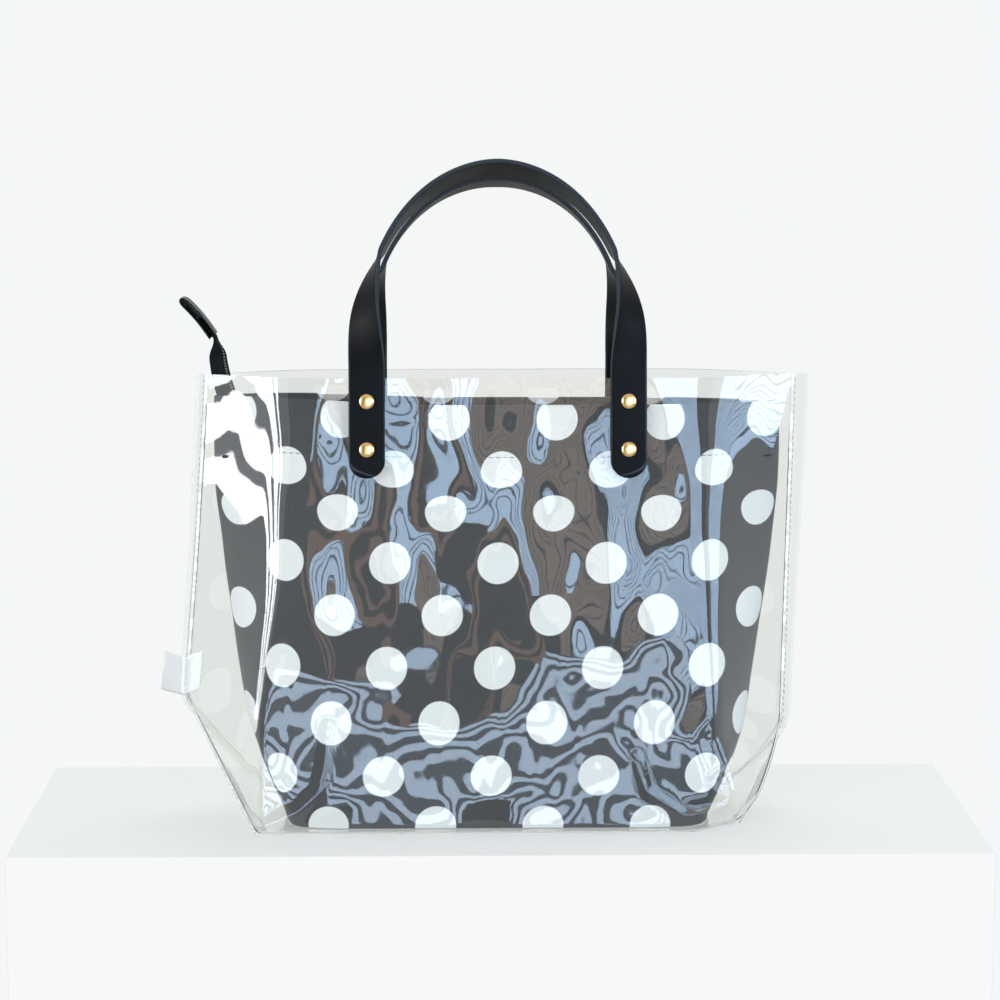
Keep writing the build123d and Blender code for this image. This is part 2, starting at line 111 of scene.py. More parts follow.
def linear(code: str) -> tuple[float, float, float, float]:
    """An sRGB hex colour as Blender's linear one.

    Args:
        code: The colour, such as "#d9a34a".

    Returns:
        Red, green, blue and an alpha of 1.
    """
    parts = [int(code[place : place + 2], 16) / 255 for place in (1, 3, 5)]
    red, green, blue = (
        part / 12.92 if part <= 0.04045 else ((part + 0.055) / 1.055) ** 2.4 for part in parts
    )
    return red, green, blue, 1.0


def add_node(
    tree: bpy.types.NodeTree, kind: str, inputs: dict[Any, Any] | None = None, **settings: Any
) -> bpy.types.Node:
    """Adds a node with its settings, values and links.

    Args:
        tree: The node tree.
        kind: The node's type, without "ShaderNode".
        inputs: A value or another node's output for each input, by name or number.
        settings: The node's own properties.

    Returns:
        The new node.
    """
    node = tree.nodes.new("ShaderNode" + kind)
    for name, value in settings.items():
        setattr(node, name, value)
    for name, value in (inputs or {}).items():
        if isinstance(value, bpy.types.NodeSocket):
            tree.links.new(value, node.inputs[name])
        else:
            node.inputs[name].default_value = value
    return node


Adder = Callable[..., bpy.types.Node]


def new_material(name: str) -> tuple[bpy.types.Material, Adder]:
    """An empty material, and add_node bound to its tree."""
    material = bpy.data.materials.new(name)
    material.use_nodes = True
    material.node_tree.nodes.clear()
    return material, partial(add_node, material.node_tree)


def smooth_step(low: float, high: float, value: Any) -> Any:
    """0 below low, 1 above high and a smooth rise between them, for a number or an array."""
    share = np.clip((np.asarray(value, float) - low) / (high - low), 0, 1)
    return share * share * (3 - 2 * share)


def soft_least(first: Any, second: Any, reach: Any) -> Any:
    """The lesser of two numbers or arrays, rounded where they come within reach."""
    near = np.clip(1 - np.abs(first - second) / reach, 0, 1)
    return np.minimum(first, second) - near * near * reach / 4


def add_object(
    name: str,
    points: np.ndarray,
    faces: Iterable[Sequence[int]],
    marks: Iterable[Sequence[tuple[float, float]]] | None = None,
) -> bpy.types.Object:
    """A smooth-shaded mesh object.

    Args:
        name: The object's name.
        points: Its vertices, in metres.
        faces: Vertex numbers for each face.
        marks: UV in millimetres for each corner of each face, if the finish needs it.

    Returns:
        The object, linked to the scene.
    """
    mesh = bpy.data.meshes.new(name)
    mesh.from_pydata([tuple(map(float, point)) for point in points], [], [list(f) for f in faces])
    if marks is not None:
        layer = mesh.uv_layers.new(name="cloth_mm")
        flat = [value for face in marks for corner in face for value in corner]
        layer.data.foreach_set("uv", flat)
    mesh.validate()
    mesh.polygons.foreach_set("use_smooth", [True] * len(mesh.polygons))
    mesh.set_sharp_from_angle(angle=math.radians(50))
    mesh.update()
    piece = bpy.data.objects.new(name, mesh)
    bpy.context.scene.collection.objects.link(piece)
    return piece


def loft(
    name: str,
    rows: np.ndarray,
    closed: bool = True,
    along: np.ndarray | None = None,
    across: np.ndarray | None = None,
    caps: bool = False,
) -> bpy.types.Object:
    """A surface through rows of points.

    Args:
        name: The object's name.
        rows: Points as an array of rows by columns by 3.
        closed: True if each row is a ring.
        along: UV along the rows in millimetres, rows by columns (one more column if closed).
        across: UV across, of the same shape.
        caps: True to close both ends with a face.

    Returns:
        The object.
    """
    count, width = rows.shape[:2]
    steps = width if closed else width - 1
    faces, marks = [], []
    for row in range(count - 1):
        for column in range(steps):
            after = (column + 1) % width
            faces.append(
                (
                    row * width + column, row * width + after, (row + 1) * width + after,
                    (row + 1) * width + column,
                )
            )
            if along is not None:
                corners = (
                    (row, column), (row, column + 1), (row + 1, column + 1), (row + 1, column)
                )
                marks.append([(across[corner], along[corner]) for corner in corners])
    if caps:
        for row, order in ((0, -1), (count - 1, 1)):
            ring = [row * width + column for column in range(width)][::order]
            faces.append(ring)
            if along is not None:
                marks.append(
                    [(across[row, column], along[row, column]) for column in range(width)][::order]
                )
    return add_object(name, rows.reshape(-1, 3), faces, marks if along is not None else None)


def join(name: str, pieces: Sequence[bpy.types.Object]) -> bpy.types.Object:
    """Joins several mesh objects into the first, under a new name."""
    with bpy.context.temp_override(
        active_object=pieces[0], object=pieces[0], selected_objects=pieces,
        selected_editable_objects=pieces,
    ):
        bpy.ops.object.join()
    pieces[0].name = name
    pieces[0].data.name = name
    return pieces[0]


def apply_modifiers(piece: bpy.types.Object) -> None:
    """Keeps the result of a piece's modifiers as its own mesh."""
    bpy.context.view_layer.update()
    depsgraph = bpy.context.evaluated_depsgraph_get()
    result = bpy.data.meshes.new_from_object(piece.evaluated_get(depsgraph))
    piece.modifiers.clear()
    piece.data = result


def thicken(piece: bpy.types.Object, thickness: float, offset: float) -> None:
    """Gives a sheet its thickness.

    Args:
        piece: The sheet.
        thickness: Its thickness.
        offset: -1 to grow inward, 1 outward and 0 both ways.
    """
    shell = piece.modifiers.new("thickness", "SOLIDIFY")
    shell.thickness = thickness
    shell.offset = offset
    apply_modifiers(piece)


def grounded(point: Vector) -> tuple[float, float, float]:
    """The point, not below the ground."""
    return point.x, point.y, max(point.z, 0.0)


def path_length(frames: Sequence[Sequence[Any]]) -> float:
    """The length of the line through the places that each frame starts with."""
    return sum((high[0] - low[0]).length for low, high in zip(frames, frames[1:]))


def dress(piece: bpy.types.Object, material: bpy.types.Material) -> bpy.types.Object:
    """Gives a piece its material."""
    piece.data.materials.clear()
    piece.data.materials.append(material)
    return piece


@dataclass
class Sleeve:
    """Rings of points gathered along a strip, with the strip's own millimetres as UV."""

    turn: Matrix = field(default_factory=lambda: Matrix.Identity(4))
    run: float = 0.0
    before: Vector | None = None
    rows: list[list[tuple[float, ...]]] = field(default_factory=list)
    along: list[list[float]] = field(default_factory=list)
    across: list[list[float]] = field(default_factory=list)

    def add(self, place: Vector, ring: Sequence[Vector]) -> None:
        """Adds the next ring.

        Args:
            place: The strip's middle there, which its length is measured along.
            ring: The points round it.
        """
        self.run += (place - self.before).length if self.before is not None else 0.0
        self.before = place
        girth = [0.0]
        for index, point in enumerate(ring):
            girth.append(girth[-1] + (ring[(index + 1) % len(ring)] - point).length / MM)
        self.rows.append([tuple(self.turn @ point) for point in ring])
        self.across.append(girth)
        self.along.append([self.run / MM] * len(girth))

    def build(self, name: str) -> bpy.types.Object:
        """The strip's mesh, closed at both ends."""
        rows, along, across = map(np.array, (self.rows, self.along, self.across))
        return loft(name, rows, along=along, across=across, caps=True)


def clamped_spline(
    points: Sequence[Vector], start: Vector, end: Vector
) -> Callable[[float], tuple[Vector, Vector]]:
    """A smooth curve through points with given directions at its ends.

    Args:
        points: The points it passes.
        start: The unit direction at the first point.
        end: The unit direction at the last point.

    Returns:
        A function from a share of the curve to the place and the unit direction there.
    """
    places = np.array([tuple(point) for point in points])
    chords = np.linalg.norm(np.diff(places, axis=0), axis=1)
    knots = np.concatenate([[0], np.cumsum(chords)])
    count = len(places)
    system = np.eye(count)
    right = np.zeros((count, 3))
    right[0], right[-1] = tuple(start), tuple(end)
    for index in range(1, count - 1):
        before, after = chords[index - 1], chords[index]
        system[index, index - 1 : index + 2] = after, 2 * (before + after), before
        right[index] = 3 * (
            after * (places[index] - places[index - 1]) / before + before * (
                places[index + 1] - places[index]
            ) / after
        )
    slopes = np.linalg.solve(system, right)

    def at(share: float) -> tuple[Vector, Vector]:
        """The place and direction at a share of the curve."""
        length = share * knots[-1]
        index = int(np.clip(np.searchsorted(knots, length) - 1, 0, count - 2))
        chord = chords[index]
        part = (length - knots[index]) / chord
        low, high = places[index], places[index + 1]
        low_slope, high_slope = slopes[index] * chord, slopes[index + 1] * chord
        square, cube = part * part, part**3
        place = (
            (2 * cube - 3 * square + 1) * low + (cube - 2 * square + part) * low_slope + (
                3 * square - 2 * cube
            ) * high + (cube - square) * high_slope
        )
        rate = (
            (6 * square - 6 * part) * (low - high) + (3 * square - 4 * part + 1) * low_slope + (
                3 * square - 2 * part
            ) * high_slope
        )
        return Vector(place), Vector(rate).normalized()

    return at


def stitch_row(
    name: str, places: Sequence[Vector], outward: Sequence[Vector], length: float, thread: float
) -> bpy.types.Object:
    """Short raised stitches along a seam, each a pinched length of thread.

    Args:
        name: The object's name.
        places: The middle of each stitch.
        outward: The surface's outward direction at each.
        length: The length of a stitch.
        thread: The thread's diameter.

    Returns:
        The object.
    """
    rings = (
        (-0.5, 0.25, -0.3), (-0.3, 0.9, 0.25), (0.0, 1.0, 0.4), (0.3, 0.9, 0.25), (0.5, 0.25, -0.3)
    )
    points, faces = [], []
    for index, place in enumerate(places):
        along = (places[min(index + 1, len(places) - 1)] - places[max(index - 1, 0)]).normalized()
        normal = (outward[index] - along * outward[index].dot(along)).normalized()
        across = along.cross(normal)
        base = len(points)
        for step, width, lift in rings:
            centre = place + along * (step * length) + normal * (lift * thread)
            for corner in range(6):
                angle = math.tau * corner / 6
                spoke = across * math.cos(angle) + normal * math.sin(angle)
                points.append(centre + spoke * (thread / 2 * width))
        for ring in range(len(rings) - 1):
            for corner in range(6):
                low = base + ring * 6 + corner
                low_next = base + ring * 6 + (corner + 1) % 6
                faces.append((low, low_next, low_next + 6, low + 6))
        faces.append([base + corner for corner in range(5, -1, -1)])
        faces.append([base + (len(rings) - 1) * 6 + corner for corner in range(6)])
    return add_object(name, np.array([tuple(point) for point in points]), faces)


def coil_of(
    name: str,
    centre: Callable[[float], tuple[Vector, Vector, Vector]],
    turns: int,
    half: tuple[float, float],
    wire: float,
) -> bpy.types.Object:
    """A flattened coil of drawn wire, as in a coil zip.

    Args:
        name: The object's name.
        centre: From a share of the coil to its middle, its sideways and its upward direction there.
        turns: How many turns it has.
        half: Half its width and half its height, to the middle of the wire.
        wire: The wire's radius.

    Returns:
        The object.
    """
    steps = turns * 10
    spots, spokes = [], []
    for step in range(steps + 1):
        place, aside, up = centre(step / steps)
        turn = math.tau * step / 10
        spots.append(place + aside * (half[0] * math.cos(turn)) + up * (half[1] * math.sin(turn)))
        spokes.append((aside * math.cos(turn) + up * math.sin(turn)).normalized())
    rows = []
    for step, (spot, spoke) in enumerate(zip(spots, spokes)):
        way = (spots[min(step + 1, steps)] - spots[max(step - 1, 0)]).normalized()
        across = way.cross(spoke).normalized()
        rows.append(
            [
                tuple(spot + (spoke * math.cos(angle) + across * math.sin(angle)) * wire)
                for angle in (math.tau * corner / 5 for corner in range(5))
            ]
        )
    return loft(name, np.array(rows), caps=True)


# ================================================================== finishes


@dataclass(frozen=True)
class ClearPvcFilm:
    """Calendered clear PVC film: glass-smooth, faintly cool, with the rollers' soft orange peel."""

    tint: str = "#f8f9f7"
    ior: float = 1.53  # plasticised PVC
    roughness: float = 0.02
    peel_mm: float = 16.0  # width of the shallow ripples left by the rollers
    peel_depth_mm: float = 0.02

    def build(self, name: str) -> bpy.types.Material:
        """The film's material: a smooth refracting sheet that lets lamps through to the pouch."""
        material, add = new_material(name)
        place = add("TexCoord")
        peel = add(
            "TexNoise",
            {"Vector": place.outputs["Object"], "Scale": 1 / (self.peel_mm * MM), "Detail": 1.5},
        )
        bump = add(
            "Bump",
            {"Height": peel.outputs["Fac"], "Strength": 1.0, "Distance": self.peel_depth_mm * MM},
        )
        film = add(
            "BsdfPrincipled",
            {
                "Base Color": linear(self.tint), "Roughness": self.roughness, "IOR": self.ior,
                "Transmission Weight": 1.0, "Normal": bump.outputs["Normal"],
            },
        )
        clear = add("BsdfTransparent", {"Color": linear(self.tint)})
        path = add("LightPath")
        mix = add(
            "MixShader", {0: path.outputs["Is Shadow Ray"], 1: film.outputs[0], 2: clear.outputs[0]}
        )
        add("OutputMaterial", {"Surface": mix.outputs[0]})
        return material


@dataclass(frozen=True)
class StrapLeather:
    """Black PU leather, embossed: a fine pebble grain with a soft sheen and painted edges, their
    gloss drawn as a lighter blue-grey painted reflection.
    """

    colour: str = "#0a0b0d"
    worn: str = "#121416"
    # Edge band colour: black edge paint drawn lighter blue-grey, a painted reflection of its gloss.
    edge: str = "#39424a"
    grain_mm: float = 0.9  # real grain is about 0.6 mm, drawn coarser so that it shows
    grain_depth_mm: float = 0.05
    roughness: float = 0.46
    specular: float = 0.07
    width_mm: float = 17.2  # across one face, from one painted edge to the other
    turn_mm: float = 40.89  # once round the strap's section

    def build(self, name: str) -> bpy.types.Material:
        """The leather's material, laid on in the strap's own millimetres."""
        material, add = new_material(name)
        place = add("TexCoord")
        pebbles = add(
            "TexVoronoi",
            {"Vector": place.outputs["UV"], "Scale": 1 / self.grain_mm, "Smoothness": 0.6},
            feature="SMOOTH_F1",
        )
        folds = add(
            "TexNoise",
            {"Vector": place.outputs["UV"], "Scale": 0.35 / self.grain_mm, "Detail": 4.0},
        )
        height = add(
            "Math",
            {0: pebbles.outputs["Distance"], 1: 0.8, 2: folds.outputs["Fac"]},
            operation="MULTIPLY_ADD",
        )
        bump = add(
            "Bump",
            {"Height": height.outputs[0], "Strength": 0.8, "Distance": self.grain_depth_mm * MM},
        )
        rubbed = add("TexNoise", {"Vector": place.outputs["UV"], "Scale": 0.03, "Detail": 3.0})
        shade = add(
            "Mix",
            {0: rubbed.outputs["Fac"], 6: linear(self.colour), 7: linear(self.worn)},
            data_type="RGBA",
        )
        rough = add(
            "MapRange",
            {
                "Value": rubbed.outputs["Fac"], 1: 0.3, 2: 0.7, 3: self.roughness - 0.05,
                4: self.roughness + 0.08,
            },
        )
        apart = add("SeparateXYZ", {0: place.outputs["UV"]})
        around = add("Math", {0: apart.outputs[0], 1: self.turn_mm / 2}, operation="MODULO")
        # A band along each edge takes the edge colour: real edge paint, drawn lighter as a painted
        # reflection.
        brim = {1: self.width_mm + 0.1, 2: self.width_mm + 0.4, 3: 0.0, 4: 1.0}
        edge_paint_glint = add("MapRange", {"Value": around.outputs[0], **brim})
        shade = add(
            "Mix",
            {0: edge_paint_glint.outputs[0], 6: shade.outputs[2], 7: linear(self.edge)},
            data_type="RGBA",
        )
        leather = add(
            "BsdfPrincipled",
            {
                "Base Color": shade.outputs[2], "Roughness": rough.outputs[0],
                "Specular IOR Level": self.specular, "Normal": bump.outputs["Normal"],
            },
        )
        add("OutputMaterial", {"Surface": leather.outputs[0]})
        return material


@dataclass(frozen=True)
class WovenCloth:
    """Woven polyester: crossing threads give fine ribs, a soft sheen and a flecked colour.

    With dots, off-white pigment is screen printed on it in staggered rows and fills the weave.
    """

    warp: str = "#17181c"
    weft: str = "#26272d"
    thread_mm: float = 0.9  # real threads are about 0.4 mm, drawn coarser so that they show
    twill: bool = True
    relief_mm: float = 0.06
    roughness: float = 0.78
    sheen: float = 0.15
    specular: float = 0.5
    dot: str = ""
    dot_width_mm: float = 21.5
    dot_pitch_mm: float = 56.0
    row_pitch_mm: float = 27.6
    row_start_mm: float = 0.0
    slant: float = 0.0  # how far the printed columns stray sideways on their way up
    slant_from_mm: float = 140.0

    def build(self, name: str) -> bpy.types.Material:
        """The cloth's material, laid on in the cloth's own millimetres."""
        material, add = new_material(name)
        place = add("TexCoord")
        apart = add("SeparateXYZ", {0: place.outputs["UV"]})
        across, along = apart.outputs[0], apart.outputs[1]
        turn = math.tau / self.thread_mm

        def wave(first: Any, second: Any, scale: float) -> bpy.types.NodeSocket:
            """A sine over a sum of two places on the cloth, from -1 to 1."""
            total = add("Math", {0: first, 1: second}, operation="ADD")
            scaled = add("Math", {0: total.outputs[0], 1: scale}, operation="MULTIPLY")
            return add("Math", {0: scaled.outputs[0]}, operation="SINE").outputs[0]

        if self.twill:
            ribs = wave(across, along, turn)
            picks = wave(along, 0.0, turn * 2)
        else:
            ribs = wave(across, 0.0, turn)
            picks = wave(along, 0.0, turn)
        product = add("Math", {0: ribs, 1: picks}, operation="MULTIPLY")
        height = add("Math", {0: ribs, 1: 0.6, 2: product.outputs[0]}, operation="MULTIPLY_ADD")
        fleck = add(
            "TexNoise",
            {"Vector": place.outputs["UV"], "Scale": 0.6 / self.thread_mm, "Detail": 3.0},
        )
        mixed = add(
            "Math",
            {0: height.outputs[0], 1: 0.22, 2: fleck.outputs["Fac"]},
            operation="MULTIPLY_ADD",
        )
        shade = add(
            "Mix",
            {0: mixed.outputs[0], 6: linear(self.warp), 7: linear(self.weft)},
            data_type="RGBA",
        ).outputs[2]
        rough: Any = self.roughness
        if self.dot:
            printed = self._dots(add, across, along)
            pigment = add(
                "Mix",
                {0: mixed.outputs[0], 6: linear(self.dot), 7: linear("#e6e8e8")},
                data_type="RGBA",
            )
            shade = add(
                "Mix", {0: printed, 6: shade, 7: pigment.outputs[2]}, data_type="RGBA"
            ).outputs[2]
            rough = add(
                "MapRange", {"Value": printed, 3: self.roughness, 4: self.roughness - 0.15}
            ).outputs[0]
        bump = add(
            "Bump", {"Height": height.outputs[0], "Strength": 0.5, "Distance": self.relief_mm * MM}
        )
        cloth = add(
            "BsdfPrincipled",
            {
                "Base Color": shade, "Roughness": rough, "Specular IOR Level": self.specular,
                "Sheen Weight": self.sheen, "Sheen Roughness": 0.4,
                "Normal": bump.outputs["Normal"],
            },
        )
        add("OutputMaterial", {"Surface": cloth.outputs[0]})
        return material

    def _dots(
        self, add: Adder, across: bpy.types.NodeSocket, along: bpy.types.NodeSocket
    ) -> bpy.types.NodeSocket:
        """1 inside a printed dot and 0 outside, in staggered rows.

        Args:
            add: Adds a node to the cloth's tree.
            across: Millimetres across the cloth, from its middle.
            along: Millimetres up the cloth, from its foot.

        Returns:
            The socket that says how much of the print shows.
        """

        def math_node(operation: str, *values: Any) -> bpy.types.NodeSocket:
            """The result of one sum on up to three values."""
            return add("Math", dict(enumerate(values)), operation=operation).outputs[0]

        from_start = math_node("SUBTRACT", along, self.row_start_mm)
        row = math_node("ROUND", math_node("DIVIDE", from_start, self.row_pitch_mm))
        beside = math_node("MULTIPLY_ADD", row, -self.row_pitch_mm, from_start)
        stagger = math_node("MULTIPLY", math_node("PINGPONG", row, 1.0), self.dot_pitch_mm / 2)
        strayed = math_node("MULTIPLY_ADD", along, -self.slant, across)
        offset = math_node("ADD", stagger, self.slant * self.slant_from_mm)
        shifted = math_node("ADD", strayed, offset)
        column = math_node("ROUND", math_node("DIVIDE", shifted, self.dot_pitch_mm))
        along_row = math_node("MULTIPLY_ADD", column, -self.dot_pitch_mm, shifted)
        squares = math_node(
            "MULTIPLY_ADD", beside, beside, math_node("MULTIPLY", along_row, along_row)
        )
        distance = math_node("SQRT", squares)
        radius = self.dot_width_mm / 2
        brim = {"Value": distance, 1: radius - 0.3, 2: radius + 0.3, 3: 1.0, 4: 0.0}
        return add("MapRange", brim, interpolation_type="SMOOTHSTEP").outputs[0]


@dataclass(frozen=True)
class HardFinish:
    """A hard surface whose colour, gloss and relief all follow one fine fleck."""

    colour: str
    worn: str
    roughness: float
    fleck_mm: float
    detail: float = 2.0
    stretch: tuple[float, float, float] = (1.0, 1.0, 1.0)
    wear: tuple[float, float] = (0.0, 1.0)  # the flecks over which the colour turns to the worn one
    gloss: tuple[float, float] = (0.0, 0.0)  # what the faintest and strongest flecks add
    relief: tuple[float, float] = (0.0, 0.0)  # the bump's strength and its depth in millimetres
    metallic: float = 0.0

    def build(self, name: str) -> bpy.types.Material:
        """The finish's material."""
        material, add = new_material(name)
        place = add("TexCoord").outputs["Object"]
        laid = add("Mapping", {"Vector": place, "Scale": self.stretch}).outputs[0]
        scale = 1 / (self.fleck_mm * MM)
        fleck = add(
            "TexNoise", {"Vector": laid, "Scale": scale, "Detail": self.detail}
        ).outputs["Fac"]
        worn = add("MapRange", {"Value": fleck, 1: self.wear[0], 2: self.wear[1]}).outputs[0]
        shade = add(
            "Mix", {0: worn, 6: linear(self.colour), 7: linear(self.worn)}, data_type="RGBA"
        )
        rough: Any = self.roughness
        if any(self.gloss):
            low, high = (self.roughness + added for added in self.gloss)
            rough = add("MapRange", {"Value": fleck, 1: 0.3, 2: 0.7, 3: low, 4: high}).outputs[0]
        strength, depth = self.relief
        skin = {"Base Color": shade.outputs[2], "Metallic": self.metallic, "Roughness": rough}
        if strength:
            bump = {"Height": fleck, "Strength": strength, "Distance": depth * MM}
            skin["Normal"] = add("Bump", bump).outputs["Normal"]
        add("OutputMaterial", {"Surface": add("BsdfPrincipled", skin).outputs[0]})
        return material


@dataclass(frozen=True)
class PlatedMetal(HardFinish):
    """Stamped and plated metal: bright, with the faint wipe marks of handling."""

    colour: str = "#e9c48b"
    worn: str = "#d3a562"
    roughness: float = 0.3
    fleck_mm: float = 0.7
    detail: float = 3.0
    stretch: tuple[float, float, float] = (1.0, 1.0, 4.0)
    gloss: tuple[float, float] = (-0.06, 0.08)
    metallic: float = 1.0


@dataclass(frozen=True)
class MouldedNylon(HardFinish):
    """Drawn nylon, as in zip coils and thread: smooth, a little waxy, faintly uneven."""

    relief: tuple[float, float] = (0.4, 0.02)


@dataclass(frozen=True)
class EnamelledZinc(HardFinish):
    """Die-cast zinc under baked black enamel: a glossy coat over a slightly uneven casting."""

    colour: str = "#0f1012"
    worn: str = "#26282b"
    roughness: float = 0.28
    fleck_mm: float = 0.5
    detail: float = 4.0
    wear: tuple[float, float] = (0.5, 0.75)
    gloss: tuple[float, float] = (0.0, 0.1)
    relief: tuple[float, float] = (0.3, 0.03)


# ================================================================== clear tote


@dataclass
class ClearTote:
    """The PVC sheet round front, base and back, its folded ends, and the fins along its seams."""

    base_width: float = 0.252
    base_depth: float = 0.100
    rim_height: float = 0.237
    rim_width: float = 0.312
    rim_depth: float = 0.048
    rim_flat: float = 0.212
    split_height: float = 0.050
    split_width: float = 0.322
    belly: float = 0.0035
    thickness: float = 0.0006
    fold: float = 0.004
    fin: float = 0.008
    columns: int = 170
    rows: int = 130
    base_rows: int = 26
    pulled: float = 0.0088  # how far the right seam is drawn in at the split
    pushed: float = 0.0048  # how far the left one bulges there
    drawn: float = 0.0038  # how far the left one is drawn in at the rim
    raised: float = 0.0130  # how much higher the left seam splits
    lifted: float = 0.0065  # how far the front right corner stands off the ground
    dent: float = 0.0022  # how far the folded ends are pressed in
    crease_width: float = 0.0022
    crease_height: float = 0.0009
    stitch_pitch: float = 0.0034
    creases: tuple[tuple[tuple[float, float], ...], ...] = (
        ((-0.122, 0.004), (-0.104, 0.011), (-0.093, 0.020), (-0.089, 0.034), (-0.087, 0.052)),
        ((0.121, 0.010), (0.097, 0.010), (0.078, 0.0225), (0.0736, 0.040)),
        ((0.118, 0.030), (0.1215, 0.018), (0.119, 0.008)),
        ((0.122, 0.034), (0.113, 0.027), (0.116, 0.016)),
    )
    film: bpy.types.Material = field(init=False)
    welt: bpy.types.Material = field(init=False)
    thread: bpy.types.Material = field(init=False)

    def __post_init__(self) -> None:
        self.film = ClearPvcFilm().build("pvc_film_calendered_clear")
        # Sewn and pressed flat, the strip's layers meet with hardly a step: a faint outline.
        self.welt = ClearPvcFilm(tint="#fbfcfb", ior=1.18, roughness=0.04).build(
            "pvc_binding_pressed_clear"
        )
        self.thread = MouldedNylon("#b4b9ba", "#dfe2e2", 0.5, 0.6).build("nylon_thread_clear_white")

    @property
    def slope(self) -> float:
        """Sideways run of the folded ends for each unit of height."""
        return (self.split_width - self.base_width) / 2 / self.split_height

    def seam_at(self, height: float) -> float:
        """Half the width from seam to seam at a height."""
        share = (height - self.split_height) / (self.rim_height - self.split_height)
        return (self.split_width + (self.rim_width - self.split_width) * share) / 2

    def depth_at(self, height: float) -> float:
        """Half the depth of the flat middle at a height."""
        share = height / self.rim_height
        depth = (self.base_depth + (self.rim_depth - self.base_depth) * share) / 2
        return depth + self.belly * 4 * share * (1 - share)

    def inset(self, height: float) -> float:
        """How far the sheet draws in where it rounds the fold at the base."""
        drop = max(self.fold - height, 0.0)
        return self.fold - math.sqrt(self.fold**2 - drop**2)

    def edge_at(self, height: float) -> float:
        """Half the width of the front sheet at a height, up to its end fold or seam."""
        end = self.base_width / 2 + self.slope * height - self.inset(height)
        return min(end, self.seam_at(height))

    def sheet_depth(self, x: float, height: float) -> float:
        """Distance of the front sheet from the middle plane, without ripples."""
        flat = (self.base_width + (self.rim_flat - self.base_width) * height / self.rim_height) / 2
        depth = self.depth_at(height) - self.inset(height)
        steep = self.depth_at(height) / (self.seam_at(height) - flat)
        sloping = (self.seam_at(height) - abs(x)) * steep
        reach = 0.003 + 0.006 * height / self.rim_height
        return float(soft_least(depth, sloping, reach))

    def settle(self, point: Vector) -> Vector:
        """Where a point of the plain form lies once the bag has slumped a little to its left.

        Args:
            point: A point of the even form.

        Returns:
            The point, drawn in at the right, pushed out at the left, and lifted at one corner.
        """
        rise = min(max(point.z / self.split_height, 0.0), 1.0)
        if point.z > self.split_height:
            share = (self.rim_height - point.z) / (self.rim_height - self.split_height)
        else:
            share = rise**2.5 if point.x > 0 else rise
        inward = share * self.pulled
        if point.x < 0:
            inward = share * self.pushed - (1 - share) * self.drawn * float(
                point.z > self.split_height
            )
        part = smooth_step(0.03, self.split_width / 2, abs(point.x))
        moved = Vector(point)
        moved.x -= float(part) * inward
        high = part * rise * (1 - smooth_step(0.05, 0.16, point.z))
        moved.z += float(high) * self.raised * float(point.x < 0)
        corner = smooth_step(0.100, 0.127, point.x) * smooth_step(0.030, 0.050, -point.y)
        moved.z += float(corner * (1 - smooth_step(0.010, 0.045, point.z))) * self.lifted
        return moved

    def crease(self, x: float, height: float) -> float:
        """How far the front film stands proud along its few sharp creases."""
        proud = 0.0
        here = Vector((x, height))
        for line in self.creases:
            for start, end in zip(line, line[1:]):
                low, run = Vector(start), Vector(end) - Vector(start)
                share = min(max((here - low).dot(run) / run.dot(run), 0.0), 1.0)
                away = (here - low - run * share).length
                proud = max(proud, math.exp(-((away / self.crease_width) ** 2)))
        return proud * self.crease_height

    def ripple(self, x: float, height: float, side: Side) -> float:
        """How far the film stands off its plain form, from handling and from its own weight."""
        seed = 3.7 + 11.0 * side.value
        broad = noise.noise(Vector((x / 0.075, height / 0.11, seed)))
        middle = noise.noise(Vector((x / 0.030, height / 0.042, seed + 5)))
        fine = noise.noise(Vector((x / 0.013, height / 0.018, seed + 9)))
        held = smooth_step(0, 0.030, self.edge_at(height) - abs(x)) * smooth_step(0, 0.022, height)
        return float(held) * (0.0020 * broad + 0.0009 * middle + 0.00012 * fine)

    def sheet_point(self, share: float, height: float, side: Side) -> Vector:
        """A point of the front or back sheet.

        Args:
            share: Place across the sheet, from -1 at its left edge to 1 at its right edge.
            height: Height above the ground.
            side: Which sheet.

        Returns:
            The point.
        """
        edge = self.edge_at(height)
        x = share * edge
        depth = self.sheet_depth(x, height)
        if height > self.split_height or abs(share) < 1:
            depth += self.ripple(x, height, side)
        if side is Side.FRONT and height < 0.06 and 0 < height and abs(share) < 1:
            depth += self.crease(x, height)
        return self.settle(side.turn @ Vector((x, -max(depth, 0.0), height)))

    def build_body(self) -> bpy.types.Object:
        """The one sheet with its folded ends, as a thin shell open at the rim."""
        heights = [self.fold * step / 4 for step in range(4)]
        heights += list(np.linspace(self.fold, self.split_height, 28))
        heights += list(np.linspace(self.split_height, self.rim_height, self.rows - 28))[1:]
        shares = np.linspace(-1, 1, self.columns)
        pieces = []
        for side in Side:
            rows = np.array(
                [[tuple(self.sheet_point(s, h, side)) for s in shares] for h in heights]
            )
            pieces.append(loft(f"{side.label}_sheet", rows, closed=False))
        crossings = np.linspace(-1, 1, self.base_rows)
        ends = [h for h in heights if h <= self.split_height + 1e-9]
        for sign in (-1, 1):
            rows = []
            for height in ends:
                edge = self.edge_at(height)
                depth = max(
                    self.sheet_depth(edge, height), 0.0
                ) if height < self.split_height else 0.0
                dent = self.dent * math.sin(math.pi * height / self.split_height)
                row = []
                for across in crossings:
                    x, y, z = self.settle(Vector((sign * edge, across * depth, height)))
                    row.append((x - sign * dent * (1 - across**2), y, z))
                rows.append(row)
            pieces.append(loft("gusset", np.array(rows), closed=False))
        floor_rows = []
        for across in crossings:
            row = []
            for share in shares:
                edge = self.edge_at(0.0)
                depth = self.sheet_depth(share * edge, 0.0)
                row.append(tuple(self.settle(Vector((share * edge, across * depth, 0.0)))))
            floor_rows.append(row)
        pieces.append(loft("base", np.array(floor_rows), closed=False))
        body = join("tote_clear_sheet", pieces)
        self._weld(body)
        thicken(body, self.thickness, -1.0)
